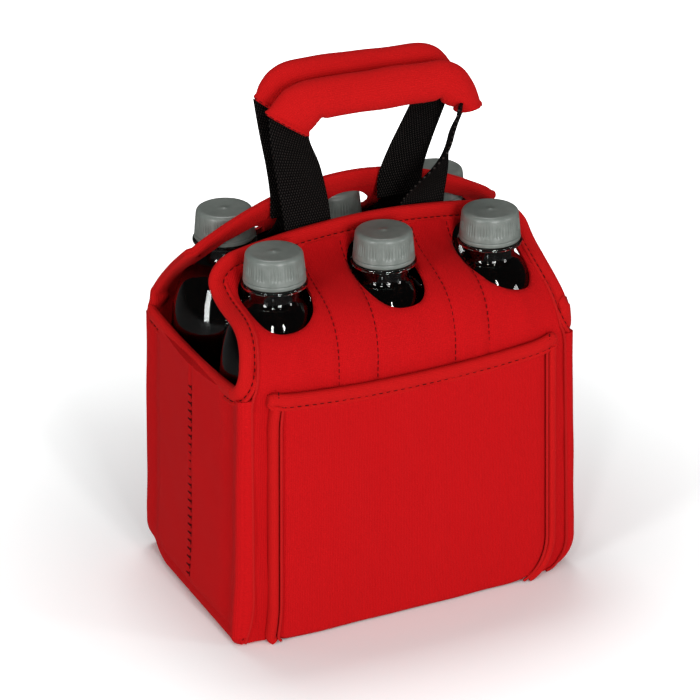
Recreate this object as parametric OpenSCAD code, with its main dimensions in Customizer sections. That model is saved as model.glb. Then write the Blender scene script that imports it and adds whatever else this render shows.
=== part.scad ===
// Soft carrier for six bottles: two padded panels that fold in over the
// bottle necks, one strip that makes both ends and the base, a front pocket
// and two webbing handles with padded grips. Millimetres, +Z up, the front
// faces -Y, and the origin is the middle of the base.

/* [Bottles] */
// Diameter of a bottle's body
bottle_d = 58; // [54:0.5:62]
// Height of a capped bottle
bottle_h = 193; // [188:1:200]
// Gap between neighbours in a row
bottle_gap = 1.6; // [1:0.1:4]
// Gap between the two rows
row_gap = 3; // [2.6:0.1:6]
// Height from a bottle's foot to where its shoulder starts
shoulder_h = 122; // [116:1:126]
// Wall of a bottle
bottle_wall = 0.6; // [0.4:0.1:1]
// Radius of a bottle's foot
foot_r = 7; // [4:0.5:9]
// How far a bottle's base is pushed up in its middle
base_rise = 4; // [2:0.5:6]
// How far the shoulder first runs on straight up
shoulder_lift = 23; // [16:1:26]
// Radius at which the shoulder's dome turns in
shoulder_r = 22.5; // [17:0.5:23]
// How far that turn lies under the neck
shoulder_draw = 6; // [4:1:12]
// Space above the drink, under the cap
headspace = 17; // [14:1:40]

/* [Bottle neck] */
// Wall of the neck
neck_wall = 1.5; // [1.2:0.1:1.8]
// Length of the straight neck under its ring
neck_run = 8; // [5:0.5:9]
// How much wider the bottle is where that starts, on each side
neck_swell = 0.6; // [0.2:0.1:1]
// Outer diameter of the neck under its thread
neck_d = 24.9; // [24:0.1:25.4]
// Outer diameter of the thread
thread_d = 27.2; // [26.8:0.1:27.4]
// Rise of the thread in one turn, which the cap's couplings repeat
thread_pitch = 2.7; // [2.4:0.1:3.2]
// Height of a thread's crest
thread_crest = 1; // [0.6:0.1:1.2]
// Height of each slope of the thread
thread_slope = 0.6; // [0.4:0.1:0.6]
// Distance from the lip down to the foot of the thread
thread_drop = 9; // [8:0.5:10]
// Diameter of the ring under the cap
ring_d = 33; // [32:0.1:33.4]
// Thickness of that ring
ring_t = 1.7; // [1.2:0.1:2]
// Diameter of the cap at its foot
cap_d = 31; // [30.4:0.1:31.4]
// How much narrower the cap is at its top, on each side
cap_taper = 0.5; // [0:0.1:0.8]
// Height of the cap without its tamper band
cap_h = 13.2; // [12:0.1:14]
// Thickness of the cap's top
cap_top = 1.4; // [1:0.1:2]
// Radius of the cap's upper edge
cap_edge = 1.4; // [0.8:0.1:2]
// Height of the straight rim at the cap's foot
cap_rim = 1.4; // [1:0.1:3]
// Clearance between the cap and the thread
cap_play = 0.3; // [0.2:0.05:0.4]
// Height of the tamper band
band_h = 2.6; // [2:0.1:3]
// How far the band swells out, on each side
band_swell = 0.2; // [0:0.05:0.3]
// Height of the band's sloping foot
band_foot = 0.8; // [0.4:0.1:1]
// Thickness of the seal in the cap
seal_t = 0.8; // [0.5:0.1:1]

/* [Carrier body] */
// Thickness of the padded cloth
wall = 3.5; // [2.5:0.1:4.5]
// Height of the ends, at the middle of their upper edge
end_h = 137; // [120:1:145]
// How much higher the ends stand at their corners
end_dip = 5; // [0:0.5:8]
// How far each end leans out towards the base
flare = 4.6; // [0:0.2:6]
// How far the panels belly out past their seams
belly = 3; // [1:0.5:5]
// Radius of the carrier's lower corners
corner_r = 18; // [14:1:24]
// Width of the roll outside each seam
roll_w = 5.6; // [4:0.2:7]
// Diameter of the piping in the seams
piping_d = 1.8; // [1.2:0.1:2.4]
// Width of the bound edges
bind_w = 8; // [6:0.5:10]
// Thickness of the bound edges
bind_t = 5.2; // [4.6:0.1:6]
// Thickness of the board in the base
board_t = 2; // [1.5:0.1:3]
// Height of the partition between the rows
partition_h = 118; // [90:1:125]
// Thickness of the partition
partition_t = 2; // [1:0.1:2.2]

/* [Flaps] */
// Height of a flap's upper corners
flap_h = 193; // [185:1:196]
// How far the front flap's edge arches above its corners
front_arch = 8; // [4:1:14]
// How far the back flap's edge arches above its corners
back_arch = 22; // [4:1:24]
// Distance of a flap's upper edge from the middle
flap_y = 13; // [12:0.1:13.4]
// How much narrower a flap is than the body, on each side
flap_in = 4.5; // [2:0.5:8]
// Radius of a flap's upper corners
flap_r = 16; // [12:1:20]
// How high the flap runs on before it folds in
flap_lift = 48; // [40:1:54]
// How far the flap stands up straight under its edge
flap_stand = 34; // [28:1:38]
// Clearance round the bottles in the neck holes
hole_gap = 0.8; // [0.5:0.1:2]
// How far the neck holes run on towards the front
hole_run = 10.8; // [6:0.2:12]
// Radius of the neck holes at that end
hole_end_r = 15.7; // [14:0.1:16.5]

/* [Pocket] */
// Width of the pocket at its mouth
pocket_w = 156; // [120:1:162]
// Height of the pocket at its corners
pocket_h = 139; // [90:1:142]
// How far the pocket's mouth dips in the middle
pocket_dip = 4; // [0:0.5:8]
// Thickness of the pocket's cloth
pocket_t = 3; // [2:0.1:3.5]
// Space between the pocket and the panel
pocket_gap = 1.4; // [1:0.1:3]
// Radius of the pocket's lower corners
pocket_r = 12; // [10:1:20]

/* [Handles] */
// Width of the webbing
strap_w = 25.4; // [20:0.1:25.4]
// Thickness of the webbing
strap_t = 1.5; // [1.2:0.1:1.8]
// Length of webbing sewn inside each panel
strap_sewn = 120; // [60:5:150]
// Height of the middle of the grips
grip_z = 263; // [255:1:275]
// How much higher the back grip stands
back_lift = 5; // [0:0.5:8]
// Width of a grip between its bends
grip_span = 70; // [60:1:80]
// How far each end of a grip reaches past its bend
grip_reach = 13; // [8:1:16]
// Height of a grip's roll
grip_h = 22; // [18:0.5:26]
// Depth of a grip's roll
grip_d = 13; // [11:0.5:14]
// How far the front grip sits to the right of the middle
front_shift = 7; // [0:1:8]
// How far the back grip sits to the right of the middle
back_shift = 4; // [0:1:8]

/* [Hidden] */
$fn = 64;
CLOTH = [0.74, 0.1, 0.1];
ROLL = [0.8, 0.17, 0.15];
WEBBING = [0.06, 0.06, 0.06];
// Clearance between pieces that touch, and between soft pieces and the bottles
seat = 0.1;
ease = 0.4;
// The cells: bottles 1 to 3 stand in front from left to right, 4 to 6 behind
pitch_x = bottle_d + bottle_gap;
row_y = (bottle_d + row_gap) / 2;
function cell(k) = [((k - 1) % 3 - 1) * pitch_x, k <= 3 ? -row_y : row_y];
// Outer half sizes of the body at its upper edge, and at its seams
half_w = pitch_x + bottle_d / 2 + ease + wall;
half_d = row_y + bottle_d / 2 + 2 * ease + wall;
seam_d = half_d - belly;
floor_z = wall + board_t + 2 * seat;
// Heights on the bottles
cap_z = floor_z + bottle_h;
band_z = cap_z - cap_h - seat - band_h;
ring_z = band_z - 2 * seat - ring_t;
lip_z = cap_z - cap_top - seal_t - 2 * seat;
// The hole round a neck has to let the ring and the cap through
hole_r = ring_d / 2 + hole_gap;
// The flap's own directions, from where it leaves the body to its edge
flap_z = end_h + end_dip;
edge_speed = 3 * flap_stand;
corner_t = 1 - flap_r / edge_speed;
COLUMNS = 22;

// Solids through a row of rings. Each ring runs there and back, so that its
// first and last points are the two sides of one edge.
module loft(rings, closed = false) {
  n = len(rings);
  m = len(rings[0]);
  last = closed ? n - 1 : n - 2;
  sides = [for (i = [0:last]) for (j = [0:m - 1])
    let (a = i * m + j, b = i * m + (j + 1) % m,
         c = ((i + 1) % n) * m + (j + 1) % m, d = ((i + 1) % n) * m + j)
    each [[a, c, b], [a, d, c]]];
  half = floor(m / 2);
  cap = [for (j = [0:half - 2])
    each [[j, m - 2 - j, m - 1 - j], [j, j + 1, m - 2 - j]]];
  top = (n - 1) * m;
  caps = closed ? [] : concat(
    [for (f = cap) f],
    [for (f = cap) [top + f[0], top + f[2], top + f[1]]]);
  polyhedron([for (r = rings) each r], concat(sides, caps));
}
function unit(v) = v / norm(v);
// A round tube along points, with the side that each point turns outwards
function tube_rings(points, outs, r, closed, sides = 6) =
  let (n = len(points)) [for (i = [0:n - 1])
    let (before = points[closed ? (i + n - 1) % n : max(i - 1, 0)],
         after = points[closed ? (i + 1) % n : min(i + 1, n - 1)],
         along = unit(after - before), across = unit(cross(along, outs[i])),
         out = cross(across, along))
    [for (s = [0:sides - 1]) let (a = 360 * (s + 0.5) / sides)
      points[i] + r * (cos(a) * out + sin(a) * across)]];
// A flat roll along points: w wide across its path and t thick outwards
function roll_rings(points, outs, w, t, closed = false) =
  let (n = len(points), shape = [[-0.5, 0], [-0.5, 0.55], [-0.36, 0.9], [-0.12, 1],
       [0.12, 1], [0.36, 0.9], [0.5, 0.55], [0.5, 0]]) [for (i = [0:n - 1])
    let (before = points[closed ? (i + n - 1) % n : max(i - 1, 0)],
         after = points[closed ? (i + 1) % n : min(i + 1, n - 1)],
         along = unit(after - before), across = unit(cross(along, outs[i])),
         out = cross(across, along))
    [for (p = shape) points[i] + p[0] * w * across + p[1] * t * out]];

// Half width of the body's outline at height z, drawn in by d
function body_half(z, d = 0) =
  let (r = corner_r - d, low = max(0, corner_r - max(z, d)),
       drawn = r - sqrt(max(0, r * r - low * low)))
  half_w + flare * (1 - max(z, corner_r) / end_h) - d - drawn;
// Half width of a flap at t, from 0 at the body to 1 at its edge, drawn in by d
function edge_t(d) = 1 - 1.12 * d / edge_speed;
function flap_half(t, d = 0) =
  let (c = max(0, (t - corner_t) / (edge_t(d) - corner_t)), r = flap_r - d)
  half_w - flap_in * sin(90 * min(1, 2 * t)) - d - r * (1 - sqrt(max(0, 1 - c * c)));
// How much of the belly is left at x
function fullness(x) = 1 - pow(min(1, abs(x) / (half_w - roll_w)), 6);
function bezier(a, b, c, d, t) =
  pow(1 - t, 3) * a + 3 * t * pow(1 - t, 2) * b + 3 * t * t * (1 - t) * c + pow(t, 3) * d;
function bezier_slope(a, b, c, d, t) =
  pow(1 - t, 2) * (b - a) + 2 * t * (1 - t) * (c - b) + t * t * (d - c);
// The front panel's outer surface as [y, z], and its outward side, at x. The
// height h runs up the body to flap_z, then on by t over the flap. The belly
// shows at the flap too, because it starts from the body's surface.
function crest(x, arch) = flap_h + arch * (1 - pow(x / (half_w - flap_in - flap_r), 2) * 0.9);
function belly_y(x) = seam_d + belly * fullness(x);
function belly_out(x) = unit([6 * belly * pow(abs(x) / (half_w - roll_w), 5)
  * sign(x) / (half_w - roll_w), -1, 0]);
function flap_yz(x, t, arch) = bezier([-belly_y(x), flap_z], [-belly_y(x), flap_z + flap_lift],
  [-flap_y, crest(x, arch) - flap_stand], [-flap_y, crest(x, arch)], t);
function flap_out(x, t, arch) =
  let (s = unit(bezier_slope([-belly_y(x), flap_z], [-belly_y(x), flap_z + flap_lift],
    [-flap_y, crest(x, arch) - flap_stand], [-flap_y, crest(x, arch)], t))) [-s[1], s[0]];
function body_at(x, z, out = 0) = [x, -belly_y(x) - out, z];
function flap_at(x, t, arch, out = 0) =
  let (p = flap_yz(x, t, arch) + out * flap_out(x, t, arch)) [x, p[0], p[1]];
// A ring of a panel: its outer face from left to right and its inner face back
function panel_ring(half, h, t, arch, inner, outer) = concat(
  [for (i = [0:COLUMNS]) let (x = half * (2 * i / COLUMNS - 1))
    t < 0 ? body_at(x, h, outer) : flap_at(x, t, arch, outer)],
  [for (i = [COLUMNS:-1:0]) let (x = half * (2 * i / COLUMNS - 1))
    t < 0 ? body_at(x, h, inner) : flap_at(x, t, arch, inner)]);
// Heights at which the lower corners and the body are drawn
function low_heights(d, top) = concat(
  [for (a = [0:18:90]) corner_r - (corner_r - d) * cos(a)],
  [for (i = [1:4]) corner_r + (top - corner_r) * i / 4]);
flap_steps = [for (i = [1:14]) i / 14];

module neck_holes() {
  for (k = [1:3])
    translate([cell(k)[0], cell(k)[1], flap_z + wall]) linear_extrude(bottle_h) {
      circle(hole_r);
      translate([0, -hole_run]) circle(hole_end_r);
      translate([-hole_end_r, -hole_run]) square([2 * hole_end_r, hole_run]);
    }
}
module panel(arch) {
  d = roll_w + seat;
  in = bind_w + 8 * seat;
  difference() {
    loft(concat(
      [for (z = low_heights(d, flap_z - 2)) panel_ring(body_half(z, d), z, -1, arch, -wall, 0)],
      [for (s = concat([0], flap_steps)) let (t = s * edge_t(in))
        panel_ring(flap_half(t, in), 0, t, arch, -wall, 0)]));
    neck_holes();
  }
}
module behind() { mirror([0, 1, 0]) children(); }
module front_panel() { color(CLOTH) panel(front_arch); }
module back_panel() { color(CLOTH) behind() panel(back_arch); }

// Points and outward sides along a flap's bound edge, drawn in by d
function edge_walk(d) = let (top = edge_t(d), half = flap_half(top, d)) concat(
  [for (i = [0:8]) let (t = corner_t * i / 8) [-flap_half(t, d), t]],
  [for (a = [15:15:75]) let (t = corner_t + (top - corner_t) * sin(a)) [-flap_half(t, d), t]],
  [for (i = [0:12]) [half * (i / 6 - 1), top]],
  [for (a = [75:-15:15]) let (t = corner_t + (top - corner_t) * sin(a)) [flap_half(t, d), t]],
  [for (i = [8:-1:0]) let (t = corner_t * i / 8) [flap_half(t, d), t]]);
module flap_binding(arch) {
  walk = edge_walk(bind_w / 2);
  out = (bind_t - wall) / 2;
  loft(roll_rings(
    [for (p = walk) flap_at(p[0], p[1], arch, -wall - out)],
    [for (p = walk) let (s = flap_out(p[0], p[1], arch)) [0, s[0], s[1]]], bind_w, bind_t));
}
module front_flap_binding() { color(ROLL) flap_binding(front_arch); }
module back_flap_binding() { color(ROLL) behind() flap_binding(back_arch); }

// The strip that makes the left end, the base and the right end. Its path is a
// list of [x, z, outward x, outward z, crown], and both its edges turn in
// towards the seams.
function strip_top(y) = end_h + end_dip * pow(min(1, abs(y) / seam_d), 2);
flat_x = body_half(corner_r) - corner_r;
strip_left = concat(
  [for (i = [0:4]) let (z = end_h - bind_w + (corner_r - end_h + bind_w) * i / 4)
    [-body_half(z), z, -1, 0, i == 4 ? 0.5 : 1]],
  [for (a = [15:15:75]) [-flat_x - corner_r * cos(a), corner_r * (1 - sin(a)), -cos(a), -sin(a), 0]],
  [[-flat_x, 0, 0, -1, 0]]);
strip_path = concat(strip_left,
  [for (i = [len(strip_left) - 1:-1:0]) let (p = strip_left[i]) [-p[0], p[1], -p[2], p[3], p[4]]]);
// Half of the strip's section as [y, outwards]: the roll, then the flat
roll_out = [[seam_d + seat, -roll_w + seat], [seam_d + 0.7, -roll_w * 0.6],
  [seam_d - 0.6, -roll_w * 0.2], [seam_d - 3.5, 0]];
roll_in = [[seam_d - wall, -roll_w + seat], [seam_d - wall - 0.1, -roll_w * 0.85],
  [seam_d - wall - 0.8, -wall - 0.6], [seam_d - wall - 2.2, -wall]];
function strip_ring(p, top) =
  let (flat = [for (i = [-3:3]) [i / 3 * (seam_d - 8), p[4] * 0.6 * (1 - pow(i / 3, 2))]],
       outer = concat([for (q = roll_out) [-q[0], q[1]]], flat,
         [for (i = [3:-1:0]) roll_out[i]]),
       inner = concat([for (q = roll_in) [-q[0], q[1]]], [for (q = flat) [q[0], q[1] - wall]],
         [for (i = [3:-1:0]) roll_in[i]]),
       ring = concat(outer, [for (i = [len(inner) - 1:-1:0]) inner[i]]))
  [for (q = ring) [p[0] + p[2] * q[1], q[0],
    p[1] + p[3] * q[1] + (top ? strip_top(q[0]) - end_h : 0)]];
module end_and_base_strip() {
  n = len(strip_path);
  color(CLOTH) loft([for (i = [0:n - 1]) strip_ring(strip_path[i], i == 0 || i == n - 1)]);
}
module end_binding() {
  reach = seam_d - 1;
  ys = [for (i = [-6:6]) reach * i / 6];
  out = (bind_t - wall) / 2;
  loft(roll_rings(
    [for (y = ys) [-body_half(end_h) + wall + out - 0.6 * (1 - pow(y / reach, 2)), y,
      strip_top(y) - bind_w / 2 + seat]],
    [for (y = ys) [-1, 0, 0]], bind_w - 2 * seat, bind_t));
}
module left_end_binding() { color(ROLL) end_binding(); }
module right_end_binding() { color(ROLL) mirror([1, 0, 0]) end_binding(); }

// The piping in a panel's seam, up its sides and on to its flap's corners. The
// pocket covers the front panel's foot, so there it is two cords.
module seam_piping(arch, covered) {
  r = piping_d / 2;
  low = low_heights(roll_w, flap_z - 1);
  left = concat(
    [for (i = [covered ? 1 : 0:len(low) - 1]) [-body_half(low[i], roll_w), low[i], -1]],
    [for (i = [1:8]) let (t = corner_t * i / 8) [-flap_half(t, bind_w), 0, t]]);
  n = len(left);
  foot = left[0];
  module cord(path) loft(tube_rings(
    [for (p = path) p[2] < 0 ? body_at(p[0], p[1], ease + r)
      : flap_at(p[0], p[2], arch, bind_t / 3 + r + seat)],
    [for (p = path) let (s = flap_out(p[0], p[2], arch)) p[2] < 0 ? [0, -1, 0] : [0, s[0], s[1]]],
    r, false));
  if (covered) {
    cord(left);
    mirror([1, 0, 0]) cord(left);
  } else {
    cord(concat([for (i = [n - 1:-1:0]) left[i]],
      [for (i = [1:7]) [foot[0] * (1 - i / 4), foot[1], -1]],
      [for (p = left) [-p[0], p[1], p[2]]]));
  }
}
module front_seam_piping() { color(CLOTH) seam_piping(front_arch, true); }
module back_seam_piping() { color(CLOTH) behind() seam_piping(back_arch, false); }

module base_board() {
  color("dimgray") translate([0, 0, wall + seat]) linear_extrude(board_t)
    square([2 * (flat_x - 1), 2 * (seam_d - wall - 3)], center = true);
}
module partition() {
  half = half_w - wall - 3;
  color([0.1, 0.1, 0.1]) translate([-half, -partition_t / 2, floor_z])
    cube([2 * half, partition_t, partition_h]);
}

// The pocket lies on the front panel's belly
pocket_out = pocket_gap + pocket_t;
pocket_foot = 1;
pocket_roll = bind_w;
function pocket_half(z, d = 0) =
  let (r = pocket_r - d, low = max(0, pocket_foot + pocket_r - max(z, pocket_foot + d)))
  pocket_w / 2 + flare * 0.7 * (1 - z / pocket_h) - d - r + sqrt(max(0, r * r - low * low));
function pocket_top(x) = pocket_h - pocket_dip * (1 - pow(x / (pocket_w / 2), 2));
function pocket_heights(d, below = seat) = concat(
  [for (a = [0:22.5:90]) pocket_foot + pocket_r - (pocket_r - d) * cos(a)],
  [for (i = [1:4]) pocket_foot + pocket_r
    + (pocket_h - bind_w - below - pocket_foot - pocket_r) * i / 4]);
// The pocket's sides and foot, drawn in by d, from its left mouth to its right
function pocket_walk(d) =
  let (hs = pocket_heights(d, 2 * ease), n = len(hs), foot = pocket_half(hs[0], d)) concat(
  [for (i = [n - 1:-1:0]) [-pocket_half(hs[i], d), hs[i]]],
  [for (i = [1:11]) [foot * (i / 6 - 1), hs[0]]],
  [for (i = [0:n - 1]) [pocket_half(hs[i], d), hs[i]]]);
module pocket_face() {
  d = pocket_roll + seat;
  hs = pocket_heights(d);
  top = len(hs) - 1;
  color(CLOTH) loft([for (i = [0:top]) let (z = hs[i], half = pocket_half(z, d),
      lift = i == top ? 1 : 0) concat(
    [for (j = [0:12]) let (x = half * (j / 6 - 1))
      body_at(x, z + lift * (pocket_top(x) - pocket_h), pocket_out)],
    [for (j = [12:-1:0]) let (x = half * (j / 6 - 1))
      body_at(x, z + lift * (pocket_top(x) - pocket_h), pocket_gap)])]);
}
module pocket_edge_roll() {
  walk = pocket_walk(pocket_roll / 2);
  color(ROLL) loft(roll_rings([for (p = walk) body_at(p[0], p[1], 3 * seat)],
    [for (p = walk) belly_out(p[0])], pocket_roll, pocket_out));
}
module pocket_hem() {
  half = pocket_half(pocket_h) - 0.5;
  xs = [for (i = [-8:8]) half * i / 8];
  color(ROLL) loft(roll_rings(
    [for (x = xs) body_at(x, pocket_top(x) - bind_w / 2 + seat, pocket_gap / 2)],
    [for (x = xs) [0, -1, 0]], bind_w - 2 * seat, pocket_t + pocket_gap));
}
module pocket_piping() {
  r = piping_d / 2;
  walk = pocket_walk(pocket_roll);
  color(CLOTH) loft(tube_rings([for (p = walk) body_at(p[0], p[1], pocket_out + seat + r)],
    [for (p = walk) [0, -1, 0]], r, false));
}

// Webbing: sewn inside a panel, then free above the flap's edge
strap_x = pitch_x / 2;
function fold_z(arch) = crest(strap_x - strap_w / 2, arch) + strap_t;
strap_under = (wall + bind_t) / 2 + ease + 2 * seat;
strap_y = flap_y - strap_under - strap_t / 2;
module strap_tail(arch) {
  stop = flap_z - strap_sewn + flap_lift;
  path = concat([[stop, -1], [flap_z, -1]], [for (s = flap_steps) [0, s]]);
  xs = [for (i = [-1:1]) strap_x + i * strap_w / 2];
  function at(x, p, out) = p[1] < 0 ? body_at(x, p[0], out) : flap_at(x, p[1], arch, out);
  loft([for (p = path) concat([for (x = xs) at(x, p, -strap_under)],
    [for (i = [2:-1:0]) at(xs[i], p, -strap_under - strap_t)])]);
}
module strap_tails(arch) {
  strap_tail(arch);
  mirror([1, 0, 0]) strap_tail(arch);
}
module front_strap_tails() { color(WEBBING) strap_tails(front_arch); }
module back_strap_tails() { color(WEBBING) behind() strap_tails(back_arch); }

// A handle's middle line: [x, z], the half width and half thickness of its
// webbing, which is folded in two inside the grip, then those of the grip
grip_y = grip_d / 2 + ease / 2;
grip_drop = 13;
end_x = grip_span / 2 + grip_reach - 6;
// The back flap's edge is higher than the front one's, and so is its grip
function lift(arch) = arch == back_arch ? back_lift : 0;
function handle_half(arch) = let (w = strap_w / 2, t = strap_t / 2, h = grip_h / 2, d = grip_d / 2,
    z = grip_z + lift(arch), end_z = z - grip_drop)
  [[strap_x, fold_z(arch), w, t, 0, 0],
   [end_x, end_z, w, t, w + 1.4, 3.2],
   [end_x - 2, end_z + 3.5, w * 0.8, t * 1.5, w + 0.6, d * 0.72],
   [end_x - 4, end_z + 7, w * 0.6, t * 2, h * 1.02, d],
   [grip_span * 0.46, z - 1, w / 2, t * 2, h, d],
   [grip_span * 0.23, z, w / 2, t * 2, h, d]];
function handle_line(arch, shift) = let (half = handle_half(arch), n = len(half)) concat(
  [for (i = [0:n - 1]) let (p = half[i]) [(i > 0 ? shift : 0) - p[0], p[1], p[2], p[3], p[4], p[5]]],
  [for (i = [n - 1:-1:0]) let (p = half[i]) [(i > 0 ? shift : 0) + p[0], p[1], p[2], p[3], p[4], p[5]]]);
// The way across the line at station i, where the grip's mouths face along it
function across(line, i) = let (n = len(line), a = line[i <= 1 ? i : i - 1],
    b = line[i >= n - 2 ? i : i + 1], along = unit([b[0] - a[0], b[1] - a[1]]))
  i == 0 ? [1, 0] : i == n - 1 ? [-1, 0] : [along[1], -along[0]];
// Where the webbing is at a height, between the flap's edge and the grip
function handle_y(z, arch) = let (
    end_z = grip_z + lift(arch) - grip_drop, k = min(1, (z - fold_z(arch)) / (end_z - fold_z(arch))))
  -strap_y + (strap_y - grip_y) * k;
// A foot of the webbing stands just clear of the flap's arched edge
function foot_at(x, y, arch) = [x, y, crest(x, arch) + ease - seat];
module handle_webbing(arch, shift) {
  line = handle_line(arch, shift);
  n = len(line);
  t = strap_t / 2;
  loft([for (i = [0:n - 1]) let (p = line[i], s = across(line, i), e = [s[0], 0, s[1]] * p[2],
      c = [p[0], handle_y(p[1], arch), p[1]], edge = [c + e, c, c - e])
    i == 0 || i == n - 1
      ? concat([for (q = edge) foot_at(q[0], q[1] + t, arch)],
          [for (k = [2:-1:0]) foot_at(edge[k][0], edge[k][1] - t, arch)])
      : concat([for (q = edge) q + [0, p[3], 0]], [for (k = [2:-1:0]) edge[k] - [0, p[3], 0]])]);
}
// The grip is a rolled sleeve: its rings run along its outside, then back
// along its bore, which has the webbing's own section
grip_sides = 14;
module grip(arch, shift) {
  line = handle_line(arch, shift);
  n = len(line);
  function ring(i, bore) = let (p = line[i], s = across(line, i))
    [for (k = [0:grip_sides - 1]) let (a = 360 * (k + 0.5) / grip_sides,
        u = bore ? (p[2] + 2 * seat) * max(-1, min(1, 1.05 * cos(a))) : p[4] * cos(a),
        v = bore ? (p[3] + 2 * seat) * sign(sin(a)) : p[5] * sin(a))
      [p[0] + s[0] * u, -grip_y + v, p[1] + s[1] * u]];
  loft(concat([for (i = [1:n - 2]) ring(i, false)], [for (i = [n - 2:-1:1]) ring(i, true)]),
    closed = true);
}
module front_handle_webbing() { color(WEBBING) handle_webbing(front_arch, front_shift); }
module back_handle_webbing() { color(WEBBING) behind() handle_webbing(back_arch, back_shift); }
module front_grip() { color(ROLL) grip(front_arch, front_shift); }
module back_grip() { color(ROLL) behind() grip(back_arch, back_shift); }

// Radii of a bottle, and heights above its foot
neck_r = neck_d / 2;
body_r = bottle_d / 2;
thread_r = thread_d / 2;
lip = lip_z - floor_z;
ring = ring_z - floor_z;
shoulder_top = ring - neck_run;
bore_r = neck_r - neck_wall;
// A bottle's outer side from its foot to its neck, as [radius, height]
function shoulder(t, r) = bezier([r, shoulder_h], [r, shoulder_h + shoulder_lift],
  [shoulder_r - (body_r - r), shoulder_top - shoulder_draw],
  [neck_r + neck_swell - (body_r - r), shoulder_top], t);
function side_of(r, foot) = concat(
  [for (a = [0:15:90]) [r - foot_r + foot_r * sin(a), foot + foot_r * (1 - cos(a))]],
  [for (i = [0:10]) shoulder(i / 10, r)]);
// The base's underside from its middle to the ring that it stands on
function base_of(up) = [[0, base_rise + up], [body_r * 0.5, base_rise * 0.62 + up],
  [body_r * 0.62, up]];
// One bead of the thread, whose foot is at height z
function bead(z) = [[neck_r, z], [thread_r, z + thread_slope],
  [thread_r, z + thread_slope + thread_crest], [neck_r, z + 2 * thread_slope + thread_crest]];
module on_bottle(k, z) {
  translate([cell(k)[0], cell(k)[1], z]) rotate_extrude() children();
}
module bottle(k) {
  w = bottle_wall;
  inner = side_of(body_r - w, w);
  outer = concat(base_of(0), side_of(body_r, 0),
    [[neck_r, shoulder_top + 2], [neck_r, ring], [ring_d / 2, ring + ring_t / 4],
     [ring_d / 2, ring + ring_t], [neck_r, ring + ring_t]],
    bead(lip - thread_drop), bead(lip - thread_drop + thread_pitch), [[neck_r, lip]]);
  color([0.25, 0.3, 0.3]) on_bottle(k, floor_z)
    polygon(concat(outer, [[bore_r, lip], [bore_r, shoulder_top]],
      [for (i = [len(inner) - 2:-1:0]) inner[i]], [for (i = [2:-1:0]) base_of(w)[i]]));
}
module drink(k) {
  w = bottle_wall + seat;
  inner = side_of(body_r - w, w);
  color([0.1, 0.04, 0.03]) on_bottle(k, floor_z) intersection() {
    polygon(concat(base_of(w), [for (i = [0:len(inner) - 2]) inner[i]],
      [[bore_r - seat, shoulder_top], [bore_r - seat, bottle_h], [0, bottle_h]]));
    square([body_r, lip - headspace]);
  }
}
module tamper_band(k) {
  inner = neck_r + 2 * ease;
  outer = cap_d / 2 + band_swell;
  color([0.45, 0.48, 0.45]) on_bottle(k, band_z)
    polygon([[neck_r + seat, 0], [outer - 2 * band_swell, 0], [outer, band_foot],
      [outer, band_h - ease], [outer - band_swell, band_h], [inner, band_h],
      [inner, band_foot + 2 * seat], [neck_r + seat, band_foot]]);
}
module cap_seal(k) {
  color("white") on_bottle(k, cap_z - cap_top - seal_t - seat) square([thread_r - 0.5, seal_t]);
}
module cap(k) {
  foot = cap_d / 2;
  top = foot - cap_taper;
  bore = thread_r + cap_play;
  color([0.45, 0.48, 0.45]) on_bottle(k, cap_z - cap_h)
    polygon(concat([[bore, 0], [foot, 0], [foot, cap_rim]],
      [for (a = [0:15:90]) [top - cap_edge * (1 - cos(a)), cap_h - cap_edge * (1 - sin(a))]],
      [[0, cap_h], [0, cap_h - cap_top], [bore, cap_h - cap_top]]));
}

front_panel();
back_panel();
end_and_base_strip();
base_board();
partition();
front_flap_binding();
back_flap_binding();
left_end_binding();
right_end_binding();
front_seam_piping();
back_seam_piping();
pocket_face();
pocket_edge_roll();
pocket_hem();
pocket_piping();
front_strap_tails();
back_strap_tails();
front_handle_webbing();
front_grip();
back_handle_webbing();
back_grip();
for (k = [1:6]) {
  bottle(k);
  drink(k);
  tamper_band(k);
  cap_seal(k);
  cap(k);
}
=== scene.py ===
import math
import bpy
import numpy as np
from mathutils import Matrix
from mathutils.geometry import delaunay_2d_cdt


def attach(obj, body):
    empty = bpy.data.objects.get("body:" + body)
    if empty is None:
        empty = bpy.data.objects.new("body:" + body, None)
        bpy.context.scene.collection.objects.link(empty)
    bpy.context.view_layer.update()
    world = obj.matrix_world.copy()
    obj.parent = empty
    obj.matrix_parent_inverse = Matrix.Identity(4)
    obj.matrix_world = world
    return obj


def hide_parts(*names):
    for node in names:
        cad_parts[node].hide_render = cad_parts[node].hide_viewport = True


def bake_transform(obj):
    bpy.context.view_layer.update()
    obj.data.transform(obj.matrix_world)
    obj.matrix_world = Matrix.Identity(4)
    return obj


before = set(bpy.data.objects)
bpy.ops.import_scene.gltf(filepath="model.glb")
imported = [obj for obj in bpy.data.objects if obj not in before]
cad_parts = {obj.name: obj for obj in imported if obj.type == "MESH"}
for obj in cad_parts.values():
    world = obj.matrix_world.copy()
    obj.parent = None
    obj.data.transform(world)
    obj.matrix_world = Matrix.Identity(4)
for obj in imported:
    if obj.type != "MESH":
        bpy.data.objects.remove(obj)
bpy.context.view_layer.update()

# Front and back panels. Each is one piece of red padded cloth, foam faced with a
# fine knit on both sides: the carrier's face below, and above it a flap that
# folds in over the bottles. Three holes are punched in it for the necks.


def make_group(name, inputs, outputs):
    group = bpy.data.node_groups.new(name, "ShaderNodeTree")
    for label, kind, value in inputs:
        item = group.interface.new_socket(name=label, in_out="INPUT", socket_type=kind)
        if value is not None:
            item.default_value = value
    for label, kind in outputs:
        group.interface.new_socket(name=label, in_out="OUTPUT", socket_type=kind)
    return group, group.nodes.new("NodeGroupInput"), group.nodes.new("NodeGroupOutput")


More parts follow.
